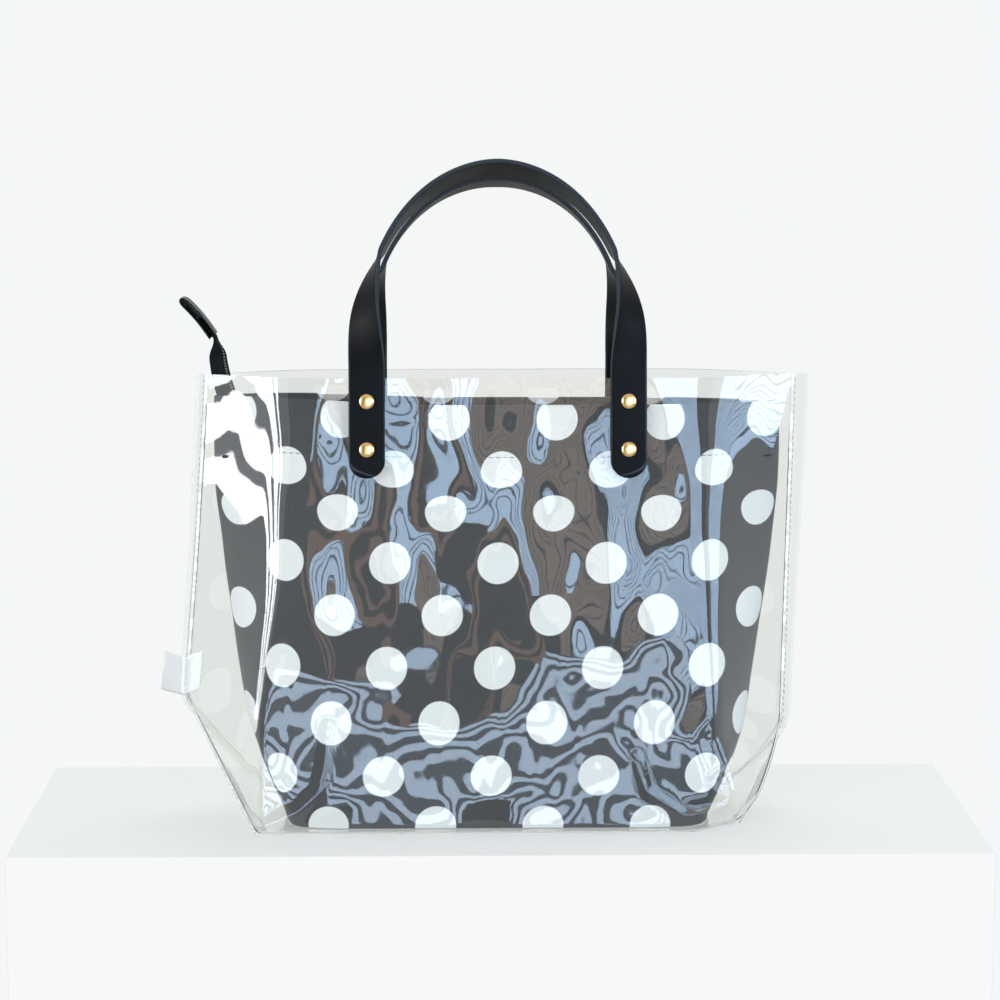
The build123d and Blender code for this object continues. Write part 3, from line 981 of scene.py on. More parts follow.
        body.data.polygons.foreach_set("use_smooth", [True] * len(body.data.polygons))
        body.data.set_sharp_from_angle(angle=math.radians(40))
        return body

    @staticmethod
    def _weld(piece: bpy.types.Object) -> None:
        """Closes the sheet where its parts meet and turns every face outward."""
        mesh = bmesh.new()
        mesh.from_mesh(piece.data)
        bmesh.ops.remove_doubles(mesh, verts=mesh.verts, dist=0.00005)
        bmesh.ops.dissolve_degenerate(mesh, dist=0.00001, edges=mesh.edges)
        bmesh.ops.recalc_face_normals(mesh, faces=mesh.faces)
        middle = Vector((0, 0, 0.12))
        outward = sum(
            1 if f.normal.dot(f.calc_center_median() - middle) > 0 else -1 for f in mesh.faces
        )
        if outward < 0:
            bmesh.ops.reverse_faces(mesh, faces=mesh.faces)
        mesh.to_mesh(piece.data)
        mesh.free()

    def fin_frames(self, sign: int, leg: int) -> list[tuple[Vector, Vector, Vector]]:
        """Places down a seam with the fin's outward direction and its face's direction.

        Args:
            sign: -1 for the left seam and 1 for the right one.
            leg: 0 for the upright seam, -1 or 1 for the split seam's front or back leg.

        Returns:
            Seam point, outward direction and face direction, from one end to the other.
        """
        frames = []
        if leg == 0:
            top = Vector((sign * self.rim_width / 2, 0, self.rim_height))
            foot = Vector((sign * self.split_width / 2, 0, self.split_height))
            outward, face = Vector((sign, 0, 0)), Vector((0, -1, 0))
        else:
            top = Vector((sign * self.split_width / 2, 0, self.split_height))
            foot = Vector((sign * self.base_width / 2, leg * self.base_depth / 2, 0.0))
            along = (foot - top).normalized()
            run = (self.split_width - self.base_width) / 2
            gusset = Vector((sign, 0, -self.slope)).normalized()
            panel = Vector((sign * self.base_depth / 2, leg * run, 0)).normalized()
            outward = gusset + panel
            outward = (outward - along * outward.dot(along)).normalized()
            face = along.cross(outward).normalized() * -leg
        count = 144 if leg == 0 else 60
        for step in range(count + 1):
            share = step / count
            place = top.lerp(foot, share)
            sway = noise.noise(Vector((share * 5, sign * 3.1, leg * 2.3))) * 0.0007
            sway *= math.sin(math.pi * share)
            frames.append((self.settle(place + face * sway), outward, face))
        return frames

    def seam_run(self, sign: int) -> list[tuple[Vector, Vector, Vector, float]]:
        """The seam from the rim down to the back corner, turning smoothly where it splits.

        Args:
            sign: -1 for the left seam and 1 for the right one.

        Returns:
            Seam point, outward direction, face direction and the fin's reach there.
        """
        upright, leg = self.fin_frames(sign, 0), self.fin_frames(sign, 1)
        facing = 1 if upright[-1][2].dot(leg[0][2]) > 0 else -1
        frames = upright + [(place, outward, face * facing) for place, outward, face in leg[1:]]
        split = len(upright) - 1
        high, low = (0.0045, 0.0030) if sign < 0 else (self.fin, 0.0050)
        run = []
        for index, (place, outward, face) in enumerate(frames):
            if abs(index - split) < 14:
                near = frames[index - 6 : index + 7]
                place, outward, face = (
                    sum((frame[part] for frame in near), Vector()) / len(near) for part in range(3)
                )
                outward = outward.normalized()
                face = (face - outward * face.dot(outward)).normalized()
            if index < split:
                reach = high + (low - high) * float(smooth_step(0.0, 1.0, index / split))
            else:
                reach = low + (0.0030 - low) * (index - split) / (len(frames) - 1 - split)
            run.append((place, outward, face, reach))
        return run

    def build_fins(self) -> bpy.types.Object:
        """The doubled sheet along each seam, as flat strips."""
        pieces = []
        for sign in (-1, 1):
            rows = []
            for place, outward, face, wide in self.seam_run(sign):
                half, reach = self.thickness, wide - 0.0008
                profile = ((-0.0003, half), (reach, half), (reach, -half), (-0.0003, -half))
                rows.append([grounded(place + outward * o + face * f) for o, f in profile])
            pieces.append(loft("fin", np.array(rows), caps=True))
        return join("seam_fins", pieces)

    def build_folds(self) -> bpy.types.Object:
        """The pressed folds that run from each split down to the front corners."""
        pieces, turns = [], [math.tau * step / 8 for step in range(8)]
        for sign in (-1, 1):
            rows = []
            for place, outward, face in self.fin_frames(sign, -1):
                spokes = [outward * math.cos(turn) + face * math.sin(turn) for turn in turns]
                rows.append([grounded(place + outward * 0.0001 + s * 0.00055) for s in spokes])
            pieces.append(loft("fold", np.array(rows), caps=True))
        return join("corner_folds", pieces)

    def build_binding(self, name: str, sign: int) -> bpy.types.Object:
        """The clear strip folded over a seam's fin.

        Args:
            name: The object's name.
            sign: -1 for the left seam and 1 for the right one.

        Returns:
            The object.
        """
        gap, skin = 0.00085, 0.00035
        rows = []
        for place, outward, face, wide in self.seam_run(sign):
            start, reach = 0.0013, wide + 0.0002
            outer, inner = gap + skin, gap
            profile = [
                (start, outer), (reach, outer), (reach + outer * 0.55, outer * 0.72),
                (reach + outer * 0.8, 0.0), (reach + outer * 0.55, -outer * 0.72), (reach, -outer),
                (start, -outer), (start, -inner), (reach, -inner), (reach + inner * 0.5, 0.0),
                (reach, inner), (start, inner),
            ]
            rows.append([grounded(place + outward * o + face * f) for o, f in profile])
        return loft(name, np.array(rows), caps=True)

    def build_stitches(self) -> bpy.types.Object:
        """The sewing through every fin, seen from both of its faces."""
        pieces = []
        for sign in (-1, 1):
            frames = self.seam_run(sign)
            count = int(path_length(frames) / self.stitch_pitch)
            for facing in (-1, 1):
                places, outwards = [], []
                for index in range(1, count):
                    part = index / count * (len(frames) - 1)
                    low = frames[int(part)]
                    place = low[0].lerp(frames[min(int(part) + 1, len(frames) - 1)][0], part % 1)
                    point = place + low[1] * 0.0018 + low[2] * (facing * 0.0013)
                    if point.z > 0.001:
                        places.append(point)
                        outwards.append(low[2] * facing)
                pieces.append(stitch_row("stitches", places, outwards, 0.0023, 0.00038))
        return join("seam_stitches", pieces)

    def build(self) -> None:
        """Builds the tote and sets it on the bag's body."""
        body = dress(self.build_body(), self.film)
        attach(body, "bag")
        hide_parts("clear_body")
        for piece in (self.build_fins(), self.build_folds()):
            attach(dress(piece, self.film), "bag")
        for sign, name in ((-1, "left"), (1, "right")):
            strip = dress(
                self.build_binding(f"{name}_seam_strip", sign), self.welt
            )
            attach(strip, "bag")
            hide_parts(f"{name}_side_binding", f"{name}_corner_binding")
        stitches = dress(self.build_stitches(), self.thread)
        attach(stitches, "bag")
        log.info("clear tote: sheet, fins, bindings and stitches")


# ================================================================== seam tag


@dataclass
class SeamTag:
    """A folded satin label caught in the left seam, left bare."""

    height: float = 0.021
    reach: float = 0.0115
    low: float = 0.0645
    thickness: float = 0.0004

    def build(self) -> None:
        """Builds the label and sets it on the bag's body."""
        satin = WovenCloth(
            "#f6f5f3", "#fdfdfc", 0.5, twill=False, relief_mm=0.03, roughness=0.5, sheen=0.0
        )
        cloth = satin.build("polyester_satin_woven_white")
        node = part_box("seam_tag")
        middle = (node[0] + node[1]) / 2
        middle.x -= 0.0075
        rows, along, across = [], [], []
        steps = np.linspace(-1, 1, 33)
        for level in np.linspace(0, 1, 15):
            row = []
            for step in steps:
                out = abs(step) ** 1.5
                reach = self.reach * (
                    1.0 - 0.12 * level * max(-step, 0) - 0.18 * (1 - level) * max(step, 0)
                )
                x = middle.x + step * reach + 0.0012 * level * max(-step, 0)
                lift = 0.0035 * abs(step) ** 1.2
                sway = 0.0022 * math.sin(abs(step) * 2.2) * out
                y = middle.y - sway - 0.0006 * math.sin(level * 5) * out
                z = self.low + level * self.height + lift
                row.append((x, y, z))
            rows.append(row)
            along.append([level * self.height / MM] * len(steps))
            across.append(list(steps * self.reach / MM))
        tag = loft(
            "seam_label", np.array(rows), closed=False, along=np.array(along),
            across=np.array(across),
        )
        thicken(tag, self.thickness, 0.0)
        dress(tag, cloth)
        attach(tag, "bag")
        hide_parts("seam_tag")
        log.info("seam tag")


# ================================================================== strap handles


@dataclass
class StrapHandle:
    """One strap: riveted flat at both ends, turned edge-on through the arch between them."""

    side: Side
    leather: bpy.types.Material
    width: float = 0.019
    thickness: float = 0.0025
    spread: float = 0.136
    below_rim: float = 0.052
    flex: float = 0.003
    arch_top: float = 0.349
    arch_width: float = 0.128
    arch_rise: float = 0.073
    arch_tilt: float = math.radians(29)
    hang: float = 0.0  # how far its arch hangs below the highest it can stand
    bulge: float = 0.0045  # how far the strap bows out sideways at the arch's shoulders
    twist_share: float = 0.27
    gap: float = 0.0006
    rim_height: float = 0.237
    rim_depth: float = 0.048
    lean: float = math.radians(8.2587)
    stations: int = 150

    def panel_point(self, x: float, up: float, out: float) -> Vector:
        """A point given across, up from the rim along the sheet and out from it."""
        up_way = Vector((0, math.sin(self.lean), math.cos(self.lean)))
        out_way = Vector((0, -math.cos(self.lean), math.sin(self.lean)))
        return Vector((x, -self.rim_depth / 2, self.rim_height)) + up_way * up + out_way * out

    def arch(self) -> list[tuple[Vector, Vector, Vector]]:
        """Places over the arch with the direction along the strap and across it."""
        start = self.panel_point(-self.spread / 2, self.flex, self.thickness / 2)
        cos_tilt, sin_tilt = math.cos(self.arch_tilt), math.sin(self.arch_tilt)
        top_depth = (self.width * cos_tilt + self.thickness * sin_tilt + self.gap) / 2
        stands = self.width * abs(sin_tilt) + self.thickness * cos_tilt
        top_centre = self.arch_top - self.hang - stands / 2
        shoulder = top_centre - self.arch_rise

        def centre(x: float, height: float) -> Vector:
            """A point of the arch, leaning evenly from the rim to its top."""
            share = (height - start.z) / (top_centre - start.z)
            return Vector((x, start.y + (-top_depth - start.y) * share, height))

        points = [start]
        for angle in (-90, -76, -60, -30, 0, 30, 60, 76, 90):
            turn = math.radians(angle)
            x = self.arch_width / 2 * math.sin(turn) + self.bulge * (angle / 90) ** 3
            points.append(centre(x, shoulder + self.arch_rise * math.cos(turn)))
        points.append(Vector((-start.x, start.y, start.z)))
        rise = Vector((0, math.sin(self.lean), math.cos(self.lean)))
        curve = clamped_spline(points, rise, -rise)
        places = []
        for share in np.linspace(0, 1, self.stations):
            from_end = min(share, 1 - share)
            turned = min(from_end / self.twist_share, 1)
            twist = math.pi / 2 * turned**1.12
            tilt = self.lean + (self.arch_tilt - self.lean) * min(2 * from_end, 1)
            place, along = curve(float(share))
            across = Vector((0, math.cos(tilt), -math.sin(tilt)))
            across = (across - along * across.dot(along)).normalized()
            outward = along.cross(across)
            edge = outward * math.cos(twist) + across * math.sin(twist)
            places.append((place, along, edge))
        return places

    def frames(self) -> list[tuple[Vector, Vector, Vector, float]]:
        """Every station from one round end to the other, with the strap's width there."""
        radius = self.width / 2
        foot = []
        for step in range(13):
            down = radius * (1 - math.cos(math.pi / 2 * step / 12))
            width = 2 * math.sqrt(max(radius**2 - (radius - down) ** 2, 0.0))
            foot.append((-self.below_rim + down, max(width, 0.0008)))
        foot += [
            (float(up), self.width)
            for up in np.linspace(-self.below_rim + radius, self.flex, 24)[1:-1]
        ]
        arch = self.arch()
        left, right = (
            [
                (self.panel_point(sign * self.spread / 2, up, self.thickness / 2), *end[1:], width)
                for up, width in rising
            ]
            for sign, end, rising in ((-1, arch[0], foot), (1, arch[-1], foot[::-1]))
        )
        return left + [(*place, self.width) for place in arch] + right

    def profile(self, width: float) -> list[tuple[float, float]]:
        """The strap's section: two faces with a slight crown and rounded painted edges."""
        half, deep = width / 2, self.thickness / 2
        corner = min(0.0009, half * 0.45)
        points = []
        for step in np.linspace(-1, 1, 9):
            points.append((step * (half - corner), deep * (0.94 + 0.06 * (1 - step * step))))
        for angle in np.linspace(75, -75, 6):
            turn = math.radians(angle)
            points.append((half - corner + corner * math.cos(turn), deep * 0.94 * math.sin(turn)))
        return points + [(-x, -y) for x, y in points]

    def build_strap(self) -> bpy.types.Object:
        """The strap's mesh, with its own millimetres as UV."""
        sleeve = Sleeve(self.side.turn)
        for place, way, edge, width in self.frames():
            out = edge.cross(way)
            sleeve.add(place, [place + edge * x + out * y for x, y in self.profile(width)])
        return sleeve.build(f"{self.side.label}_strap")

    def build(self) -> None:
        """Builds the strap and hides the imported pieces that it replaces."""
        strap = dress(self.build_strap(), self.leather)
        label = self.side.label
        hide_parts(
            f"{label}_strap_left_end", f"{label}_strap_right_end", f"{label}_strap_grip"
        )
        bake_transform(strap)
        log.info("%s strap handle", label)


@dataclass
class Rivets:
    """The four double cap rivets of one handle: domed caps outside, flatter caps inside."""

    handle: StrapHandle
    metal: bpy.types.Material
    below_rim: float = 0.012
    pitch: float = 0.025
    cap: float = 0.004
    sheet: float = 0.0008
    segments: int = 40

    def lathe(
        self, name: str, profile: Sequence[tuple[float, float]], x: float, up: float
    ) -> bpy.types.Object:
        """A turned piece square to the sheet.

        Args:
            name: The object's name.
            profile: Radius and distance out from the sheet, from the axis and back to it.
            x: Place across.
            up: Place up from the rim.

        Returns:
            The object.
        """
        rows = []
        for radius, out in profile:
            ring = []
            for step in range(self.segments):
                turn = math.tau * step / self.segments
                point = self.handle.panel_point(
                    x + radius * math.cos(turn), up + radius * math.sin(turn), out
                )
                ring.append(tuple(self.handle.side.turn @ point))
            rows.append(ring)
        return loft(name, np.array(rows), caps=True)

    def build(self) -> None:
        """Builds both sets of caps and sets them on the bag's body."""
        base = self.handle.thickness
        dome = [
            (0.0004, base - 0.0002), (self.cap * 0.93, base - 0.0002), (self.cap, base + 0.0002)
        ]
        dome += [(self.cap, base + 0.0005)]
        for step in range(1, 9):
            angle = math.pi / 2 * step / 8
            dome.append(
                (
                    self.cap * 0.96 * math.cos(angle) + 0.00005,
                    base + 0.0006 + 0.0012 * math.sin(angle),
                )
            )
        under = -self.sheet
        stud = [(0.0004, under + 0.0001), (self.cap, under + 0.0001), (self.cap, under - 0.0004)]
        for step in range(1, 7):
            angle = math.pi / 2 * step / 6
            stud.append(
                (
                    self.cap * 0.94 * math.cos(angle) + 0.00005,
                    under - 0.0005 - 0.0005 * math.sin(angle),
                )
            )
        caps, studs = [], []
        for sign in (-1, 1):
            for row in (0, 1):
                x, up = sign * self.handle.spread / 2, -self.below_rim - row * self.pitch
                caps.append(self.lathe("cap", dome, x, up))
                studs.append(self.lathe("stud", stud, x, up))
        label = self.handle.side.label
        for pieces, kind in ((caps, "caps"), (studs, "studs")):
            joined = dress(join(f"{label}_rivet_{kind}_gold", pieces), self.metal)
            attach(joined, "bag")
            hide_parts(f"{label}_rivet_{kind}")
        log.info("%s rivets", label)


# ================================================================== fabric pouch


@dataclass
class Pouch:
    """The dotted cloth pouch: a soft shell with a turned facing and a recessed zip."""

    low: float = 0.0011
    top: float = 0.2221
    base_width: float = 0.222
    base_depth: float = 0.080
    top_width: float = 0.298
    top_depth: float = 0.038
    wall: float = 0.0015
    facing: float = 0.029
    rounding: float = 0.013
    form: tuple[tuple[float, ...], ...] = (
        (0.00, 0.00, 0.00, 0.15, 0.75), (0.07, 0.22, -0.09, 0.16, 0.72),
        (0.21, 0.56, -0.09, 0.20, 0.50), (0.54, 0.84, 0.19, 0.31, 0.24),
        (0.79, 1.00, 0.57, 0.36, 0.14), (1.00, 1.00, 1.00, 0.40, 0.12),
    )
    slack_high_mm: float = 7.2  # how much the print closes up near the mouth
    slack_low_mm: float = 3.6  # and near the foot
    rows: int = 90
    corner_steps: int = 6

    def sizes_at(self, share: float) -> tuple[float, float, float, float]:
        """Half width, half depth, half the flat front and half the end's thickness at a height.

        Args:
            share: The height as a share of the pouch's height.

        Returns:
            The four sizes.
        """
        table = np.array(self.form)
        spread = np.array([-0.06, -0.03, 0.0, 0.03, 0.06])
        weights = np.array([1.0, 3.0, 4.0, 3.0, 1.0]) / 12
        samples = np.clip(share + spread, 0, 1)
        width, depth, corner, end = (
            float((np.interp(samples, table[:, 0], table[:, column]) * weights).sum())
            for column in range(1, 5)
        )
        half_width = (self.base_width + (self.top_width - self.base_width) * width) / 2
        half_depth = (self.base_depth + (self.top_depth - self.base_depth) * depth) / 2
        return half_width, half_depth, half_width * (1 - corner), half_depth * end

    def ring_at(self, share: float, inward: float) -> np.ndarray:
        """The outline of the pouch at a height, from the middle of its front round to it again.

        Args:
            share: The height as a share of the pouch's height.
            inward: How far inside the cloth's outside.

        Returns:
            Points across and along, as an array with two columns.
        """
        half_width, half_depth, flat, end = self.sizes_at(share)
        half_width, half_depth = half_width - inward * 1.6, half_depth - inward
        corners = [(flat, -half_depth), (half_width, -end), (half_width, end), (flat, half_depth)]
        corners += [(-x, -y) for x, y in corners]
        long_edges = {7: 44, 3: 44}  # more points along the flat front and back
        points = []
        start = Vector((0.0, -half_depth))
        for index, corner in enumerate(corners):
            here = Vector(corner)
            before = Vector(corners[index - 1])
            after = Vector(corners[(index + 1) % 8])
            cut_before = min(self.rounding * 2, (here - before).length * 0.45)
            cut_after = min(self.rounding * 2, (after - here).length * 0.45)
            enter = here + (before - here).normalized() * cut_before
            leave = here + (after - here).normalized() * cut_after
            count = 22 if index == 0 else long_edges.get(index - 1, 6)
            for step in range(count):
                points.append(start.lerp(enter, step / count))
            for step in range(self.corner_steps):
                part = step / self.corner_steps
                points.append(enter.lerp(here, part).lerp(here.lerp(leave, part), part))
            start = leave
        closing = Vector((0.0, -half_depth))
        for step in range(22):
            points.append(start.lerp(closing, step / 22))
        return np.array([tuple(point) for point in points])

    def rise_at(self, x: np.ndarray) -> np.ndarray:
        """How much higher the mouth stands towards its left end."""
        return 0.0035 * smooth_step(0.02, 0.13, -x)

    def shell_rows(
        self, inward: float, low: float, high: float, count: int
    ) -> tuple[np.ndarray, ...]:
        """Rows of points up the pouch with the cloth's millimetres.

        Args:
            inward: How far inside the cloth's outside.
            low: The first row, as a share of the pouch's height.
            high: The last row.
            count: How many rows.

        Returns:
            The points, and the UV along and across.
        """
        rows, along, across = [], [], []
        height = self.top - self.low
        for share in np.linspace(low, high, count):
            ring = self.ring_at(float(share), inward)
            lift = self.rise_at(ring[:, 0]) * share**4
            z = np.full(len(ring), self.low + share * height) + lift
            held = float(smooth_step(0, 0.06, share) * (1 - 0.7 * smooth_step(0.9, 1, share)))
            lengths = np.linalg.norm(np.diff(np.vstack([ring, ring[:1]]), axis=0), axis=1)
            run = np.concatenate([[0], np.cumsum(lengths)])
            puff = np.array(
                [
                    noise.noise(Vector((px / 0.05, py / 0.05, share * height / 0.08)))
                    + 0.5 * noise.noise(Vector((px / 0.022, py / 0.022, share * height / 0.03 + 7)))
                    for px, py in ring
                ]
            )
            ways = np.roll(ring, -1, axis=0) - np.roll(ring, 1, axis=0)
            normals = np.stack([ways[:, 1], -ways[:, 0]], axis=1)
            normals /= np.linalg.norm(normals, axis=1)[:, None] + 1e-9
            moved = ring + normals * (puff * 0.0009 * held)[:, None]
            rows.append(np.stack([moved[:, 0], moved[:, 1], z], axis=1))
            half = run[-1] / 2
            around = np.where(
                run > half * 1.5, run - run[-1], np.where(run > half * 0.5, run - half, run)
            )
            across.append(around / MM)
            up = share * height / MM
            slack = self.slack_high_mm * float(smooth_step(163, 190, up))
            slack += self.slack_low_mm * float(1 - smooth_step(30, 100, up))
            along.append(np.full(len(run), up + slack))
        return np.array(rows), np.array(along), np.array(across)

    def build_shell(self) -> bpy.types.Object:
        """The outer cloth, up over the mouth and down the inside to the facing's hem."""
        outer = self.shell_rows(0.0, 0.0, 1.0, self.rows)
        turn = self.shell_rows(self.wall / 2, 1.0, 1.0, 1)
        turn[0][0, :, 2] += 0.0004
        inner = self.shell_rows(
            self.wall + 0.0004, 1.0, 1 - self.facing / (self.top - self.low), 14
        )
        rows = np.concatenate([outer[0], turn[0], inner[0]])
        along = np.concatenate([outer[1], turn[1] + 0.5, 2 * outer[1][-1:] - inner[1]])
        across = np.concatenate([outer[2], turn[2], inner[2]])
        return loft("pouch_cloth", rows, along=along, across=across)

    def build_floor(self) -> bpy.types.Object:
        """The pouch's flat bottom, inside its lowest row."""
        rows, along, across = [], [], []
        for scale in np.linspace(1.0, 0.02, 10):
            ring = self.ring_at(0.0, 0.0) * scale
            z = np.full(len(ring), self.low)
            rows.append(np.stack([ring[:, 0], ring[:, 1], z], axis=1))
            closed = np.vstack([ring, ring[:1]])
            across.append(closed[:, 0] / MM)
            along.append(closed[:, 1] / MM)
        return loft("pouch_floor", np.array(rows), along=np.array(along), across=np.array(across))

    def build_hem(self) -> bpy.types.Object:
        """The stitches that hold the turned facing, all round the pouch."""
        share = 1 - (self.facing - 0.0025) / (self.top - self.low)
        ring = self.shell_rows(0.0, share, share, 1)[0][0]
        closed = np.vstack([ring, ring[:1]])
        run = np.concatenate([[0], np.cumsum(np.linalg.norm(np.diff(closed, axis=0), axis=1))])
        count = int(run[-1] / 0.0036)
        spots = np.linspace(0, run[-1], count, endpoint=False)
        places = [
            Vector(tuple(np.interp(spot, run, closed[:, axis]) for axis in range(3)))
            for spot in spots
        ]
        outwards = []
        for index in range(count):
            way = places[(index + 1) % count] - places[index - 1]
            outwards.append(Vector((way.y, -way.x, 0)).normalized())
        return stitch_row("pouch_hem_stitches", places, outwards, 0.0026, 0.00042)

    def build(self) -> None:
        """Builds the pouch and sets it on the bag's body."""
        printed = WovenCloth(
            dot="#f4f5f5", dot_pitch_mm=56.4, row_pitch_mm=27.0, row_start_mm=32.1, slant=0.035
        )
        cloth = printed.build("polyester_twill_screen_printed")
        shell = dress(self.build_shell(), cloth)
        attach(shell, "bag")
        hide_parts("pouch_body", "pouch_facing")
        floor = dress(self.build_floor(), cloth)
        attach(floor, "bag")
        thread = MouldedNylon("#1d1e22", "#3a3c42", 0.5, 0.6).build("polyester_thread_spun_black")
        hem = dress(self.build_hem(), thread)
        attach(hem, "bag")
        log.info("pouch: shell, floor and hem stitches")


# ================================================================== zip


@dataclass
class PouchZip:
    """The recessed zip: fabric strips, woven tapes, two rows of coil, stop, slider and pull."""

    pouch: Pouch
    length: float = 0.264
    end_margin: float = 0.012
    mouth: float = 0.016
    below_top: float = 0.027
    tape_near: float = 0.00225
    tape_width: float = 0.010
    tape_thickness: float = 0.0006
    panel_thickness: float = 0.001
    coil_height: float = 0.0016
    coil_width: float = 0.0015
    coil_gap: float = 0.0015
    coil_pitch: float = 0.0015

    @property
    def level(self) -> float:
        """The height of the panels' upper faces."""
        return self.pouch.top - self.below_top

    def reach_at(self, x: np.ndarray) -> np.ndarray:
        """How far out from the middle the facing stands at each place along the zip."""
        share = (self.level - self.pouch.low) / (self.pouch.top - self.pouch.low)
        ring = self.pouch.ring_at(share, self.pouch.wall + 0.0012)
        front = ring[ring[:, 1] < 0]
        front = front[np.argsort(front[:, 0])]
        return np.interp(x, front[:, 0], -front[:, 1])

    def strip(
        self, name: str, side: Side, x: np.ndarray, near: float, far: np.ndarray, top: float,
        thickness: float,
    ) -> bpy.types.Object:
        """A strip of cloth lying along the zip, with its own millimetres as UV.

        Args:
            name: The object's name.
            side: Which half of the zip.
            x: Places along the zip.
            near: From the zip's middle to the strip's inner edge.
            far: From the zip's middle to its outer edge, at each place.
            top: The height of its upper face.
            thickness: Its thickness.

        Returns:
            The object.
        """
        rows, along, across = [], [], []
        for share in np.linspace(0, 1, 9):
            y = near + (far - near) * share
            slack = 0.0005 * math.sin(math.pi * share) if thickness > self.tape_thickness else 0.0
            waves = [noise.noise(Vector((px / 0.03, share * 2, side.value))) for px in x]
            z = top - slack * (1 + np.array(waves))
            rows.append([tuple(side.turn @ Vector((px, -py, pz))) for px, py, pz in zip(x, y, z)])
            along.append(y / MM)
            across.append(x / MM)
        piece = loft(
            name, np.array(rows), closed=False, along=np.array(along), across=np.array(across)
        )
        thicken(piece, thickness, -1.0 if piece.data.polygons[0].normal.z > 0 else 1.0)
        return piece

    def build_half(self, side: Side, cloth: bpy.types.Material, tape: bpy.types.Material) -> None:
        """One fabric strip with its tape.

        Args:
            side: Which half of the zip.
            cloth: The fabric strip's material.
            tape: The tape's material.
        """
        ends = float(self.pouch.ring_at(0.88, self.pouch.wall + 0.0012)[:, 0].max())
        x = np.linspace(-ends, ends, 90)
        label = side.label
        far = np.maximum(self.reach_at(x), self.mouth / 2 + 0.0005)
        panel = self.strip(
            f"{label}_panel", side, x, self.mouth / 2, far, self.level, self.panel_thickness
        )
        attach(dress(panel, cloth), "bag")
        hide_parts(f"{label}_zip_panel")
        x = np.linspace(-self.length / 2, self.length / 2, 90)
        far = np.minimum(self.reach_at(x), self.tape_near + self.tape_width)
        top = self.level + self.tape_thickness
        ribbon = self.strip(f"{label}_tape", side, x, self.tape_near, far, top, self.tape_thickness)
        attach(dress(ribbon, tape), "bag")
        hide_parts(f"{label}_zip_tape")

    def build_coil(self, side: Side) -> bpy.types.Object:
        """One row of the zip's coil."""
        start, stop = -self.length / 2, self.length / 2 - self.end_margin
        away = self.coil_gap / 2 + self.coil_width / 2
        height = self.level + self.tape_thickness / 2

        def centre(share: float) -> tuple[Vector, Vector, Vector]:
            """The coil's middle and its directions."""
            place = Vector(
                (start + (stop - start) * share, -away if side is Side.FRONT else away, height)
            )
            return place, Vector((0, 1, 0)), Vector((0, 0, 1))

        wire = 0.00028
        half = (self.coil_width / 2 - wire + 0.0001, self.coil_height / 2 - wire)
        return coil_of(
            f"{side.label}_coil", centre, int((stop - start) / self.coil_pitch), half, wire
        )

    def build_stitches(self) -> bpy.types.Object:
        """Two rows of sewing down each tape."""
        pieces = []
        z = self.level + self.tape_thickness
        spots = np.arange(-self.length / 2 + 0.004, self.length / 2 - 0.004, 0.0032)
        for sign in (-1, 1):
            for away in (self.mouth / 2 + 0.0012, self.mouth / 2 + 0.0034):
                places = [Vector((float(x), sign * away, z)) for x in spots]
                kept = [
                    place
                    for place, reach in zip(places, self.reach_at(spots))
                    if reach > away + 0.0006
                ]
                pieces.append(
                    stitch_row("stitches", kept, [Vector((0, 0, 1))] * len(kept), 0.0022, 0.00035)
                )
        return join("zip_stitches", pieces)

    def build(self) -> None:
        """Builds the zip's soft pieces and paints its metal ones."""
        cloth = WovenCloth().build("polyester_twill_dyed_black")
        ribbon = WovenCloth(
            "#121316", "#212227", 0.7, twill=False, relief_mm=0.05, roughness=0.7, sheen=0.1
        )
        tape = ribbon.build("polyester_zip_tape_woven_black")
        nylon = MouldedNylon("#17181b", "#2b2d31", 0.38, 1.0).build("nylon_coil_drawn_black")
        enamel = EnamelledZinc().build("zinc_die_cast_black_enamel")
        for side in Side:
            self.build_half(side, cloth, tape)
            coil = dress(self.build_coil(side), nylon)
            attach(coil, "bag")
            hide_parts(f"{side.label}_zip_coil")
        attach(dress(self.build_stitches(), nylon), "bag")
        for node in ("zip_stop", "zip_slider", "zip_pull"):
            piece = frame["nodes"][node]
            piece.data.materials.clear()
            piece.data.materials.append(enamel)
        log.info("zip: strips, tapes, coils, stitches and enamelled parts")


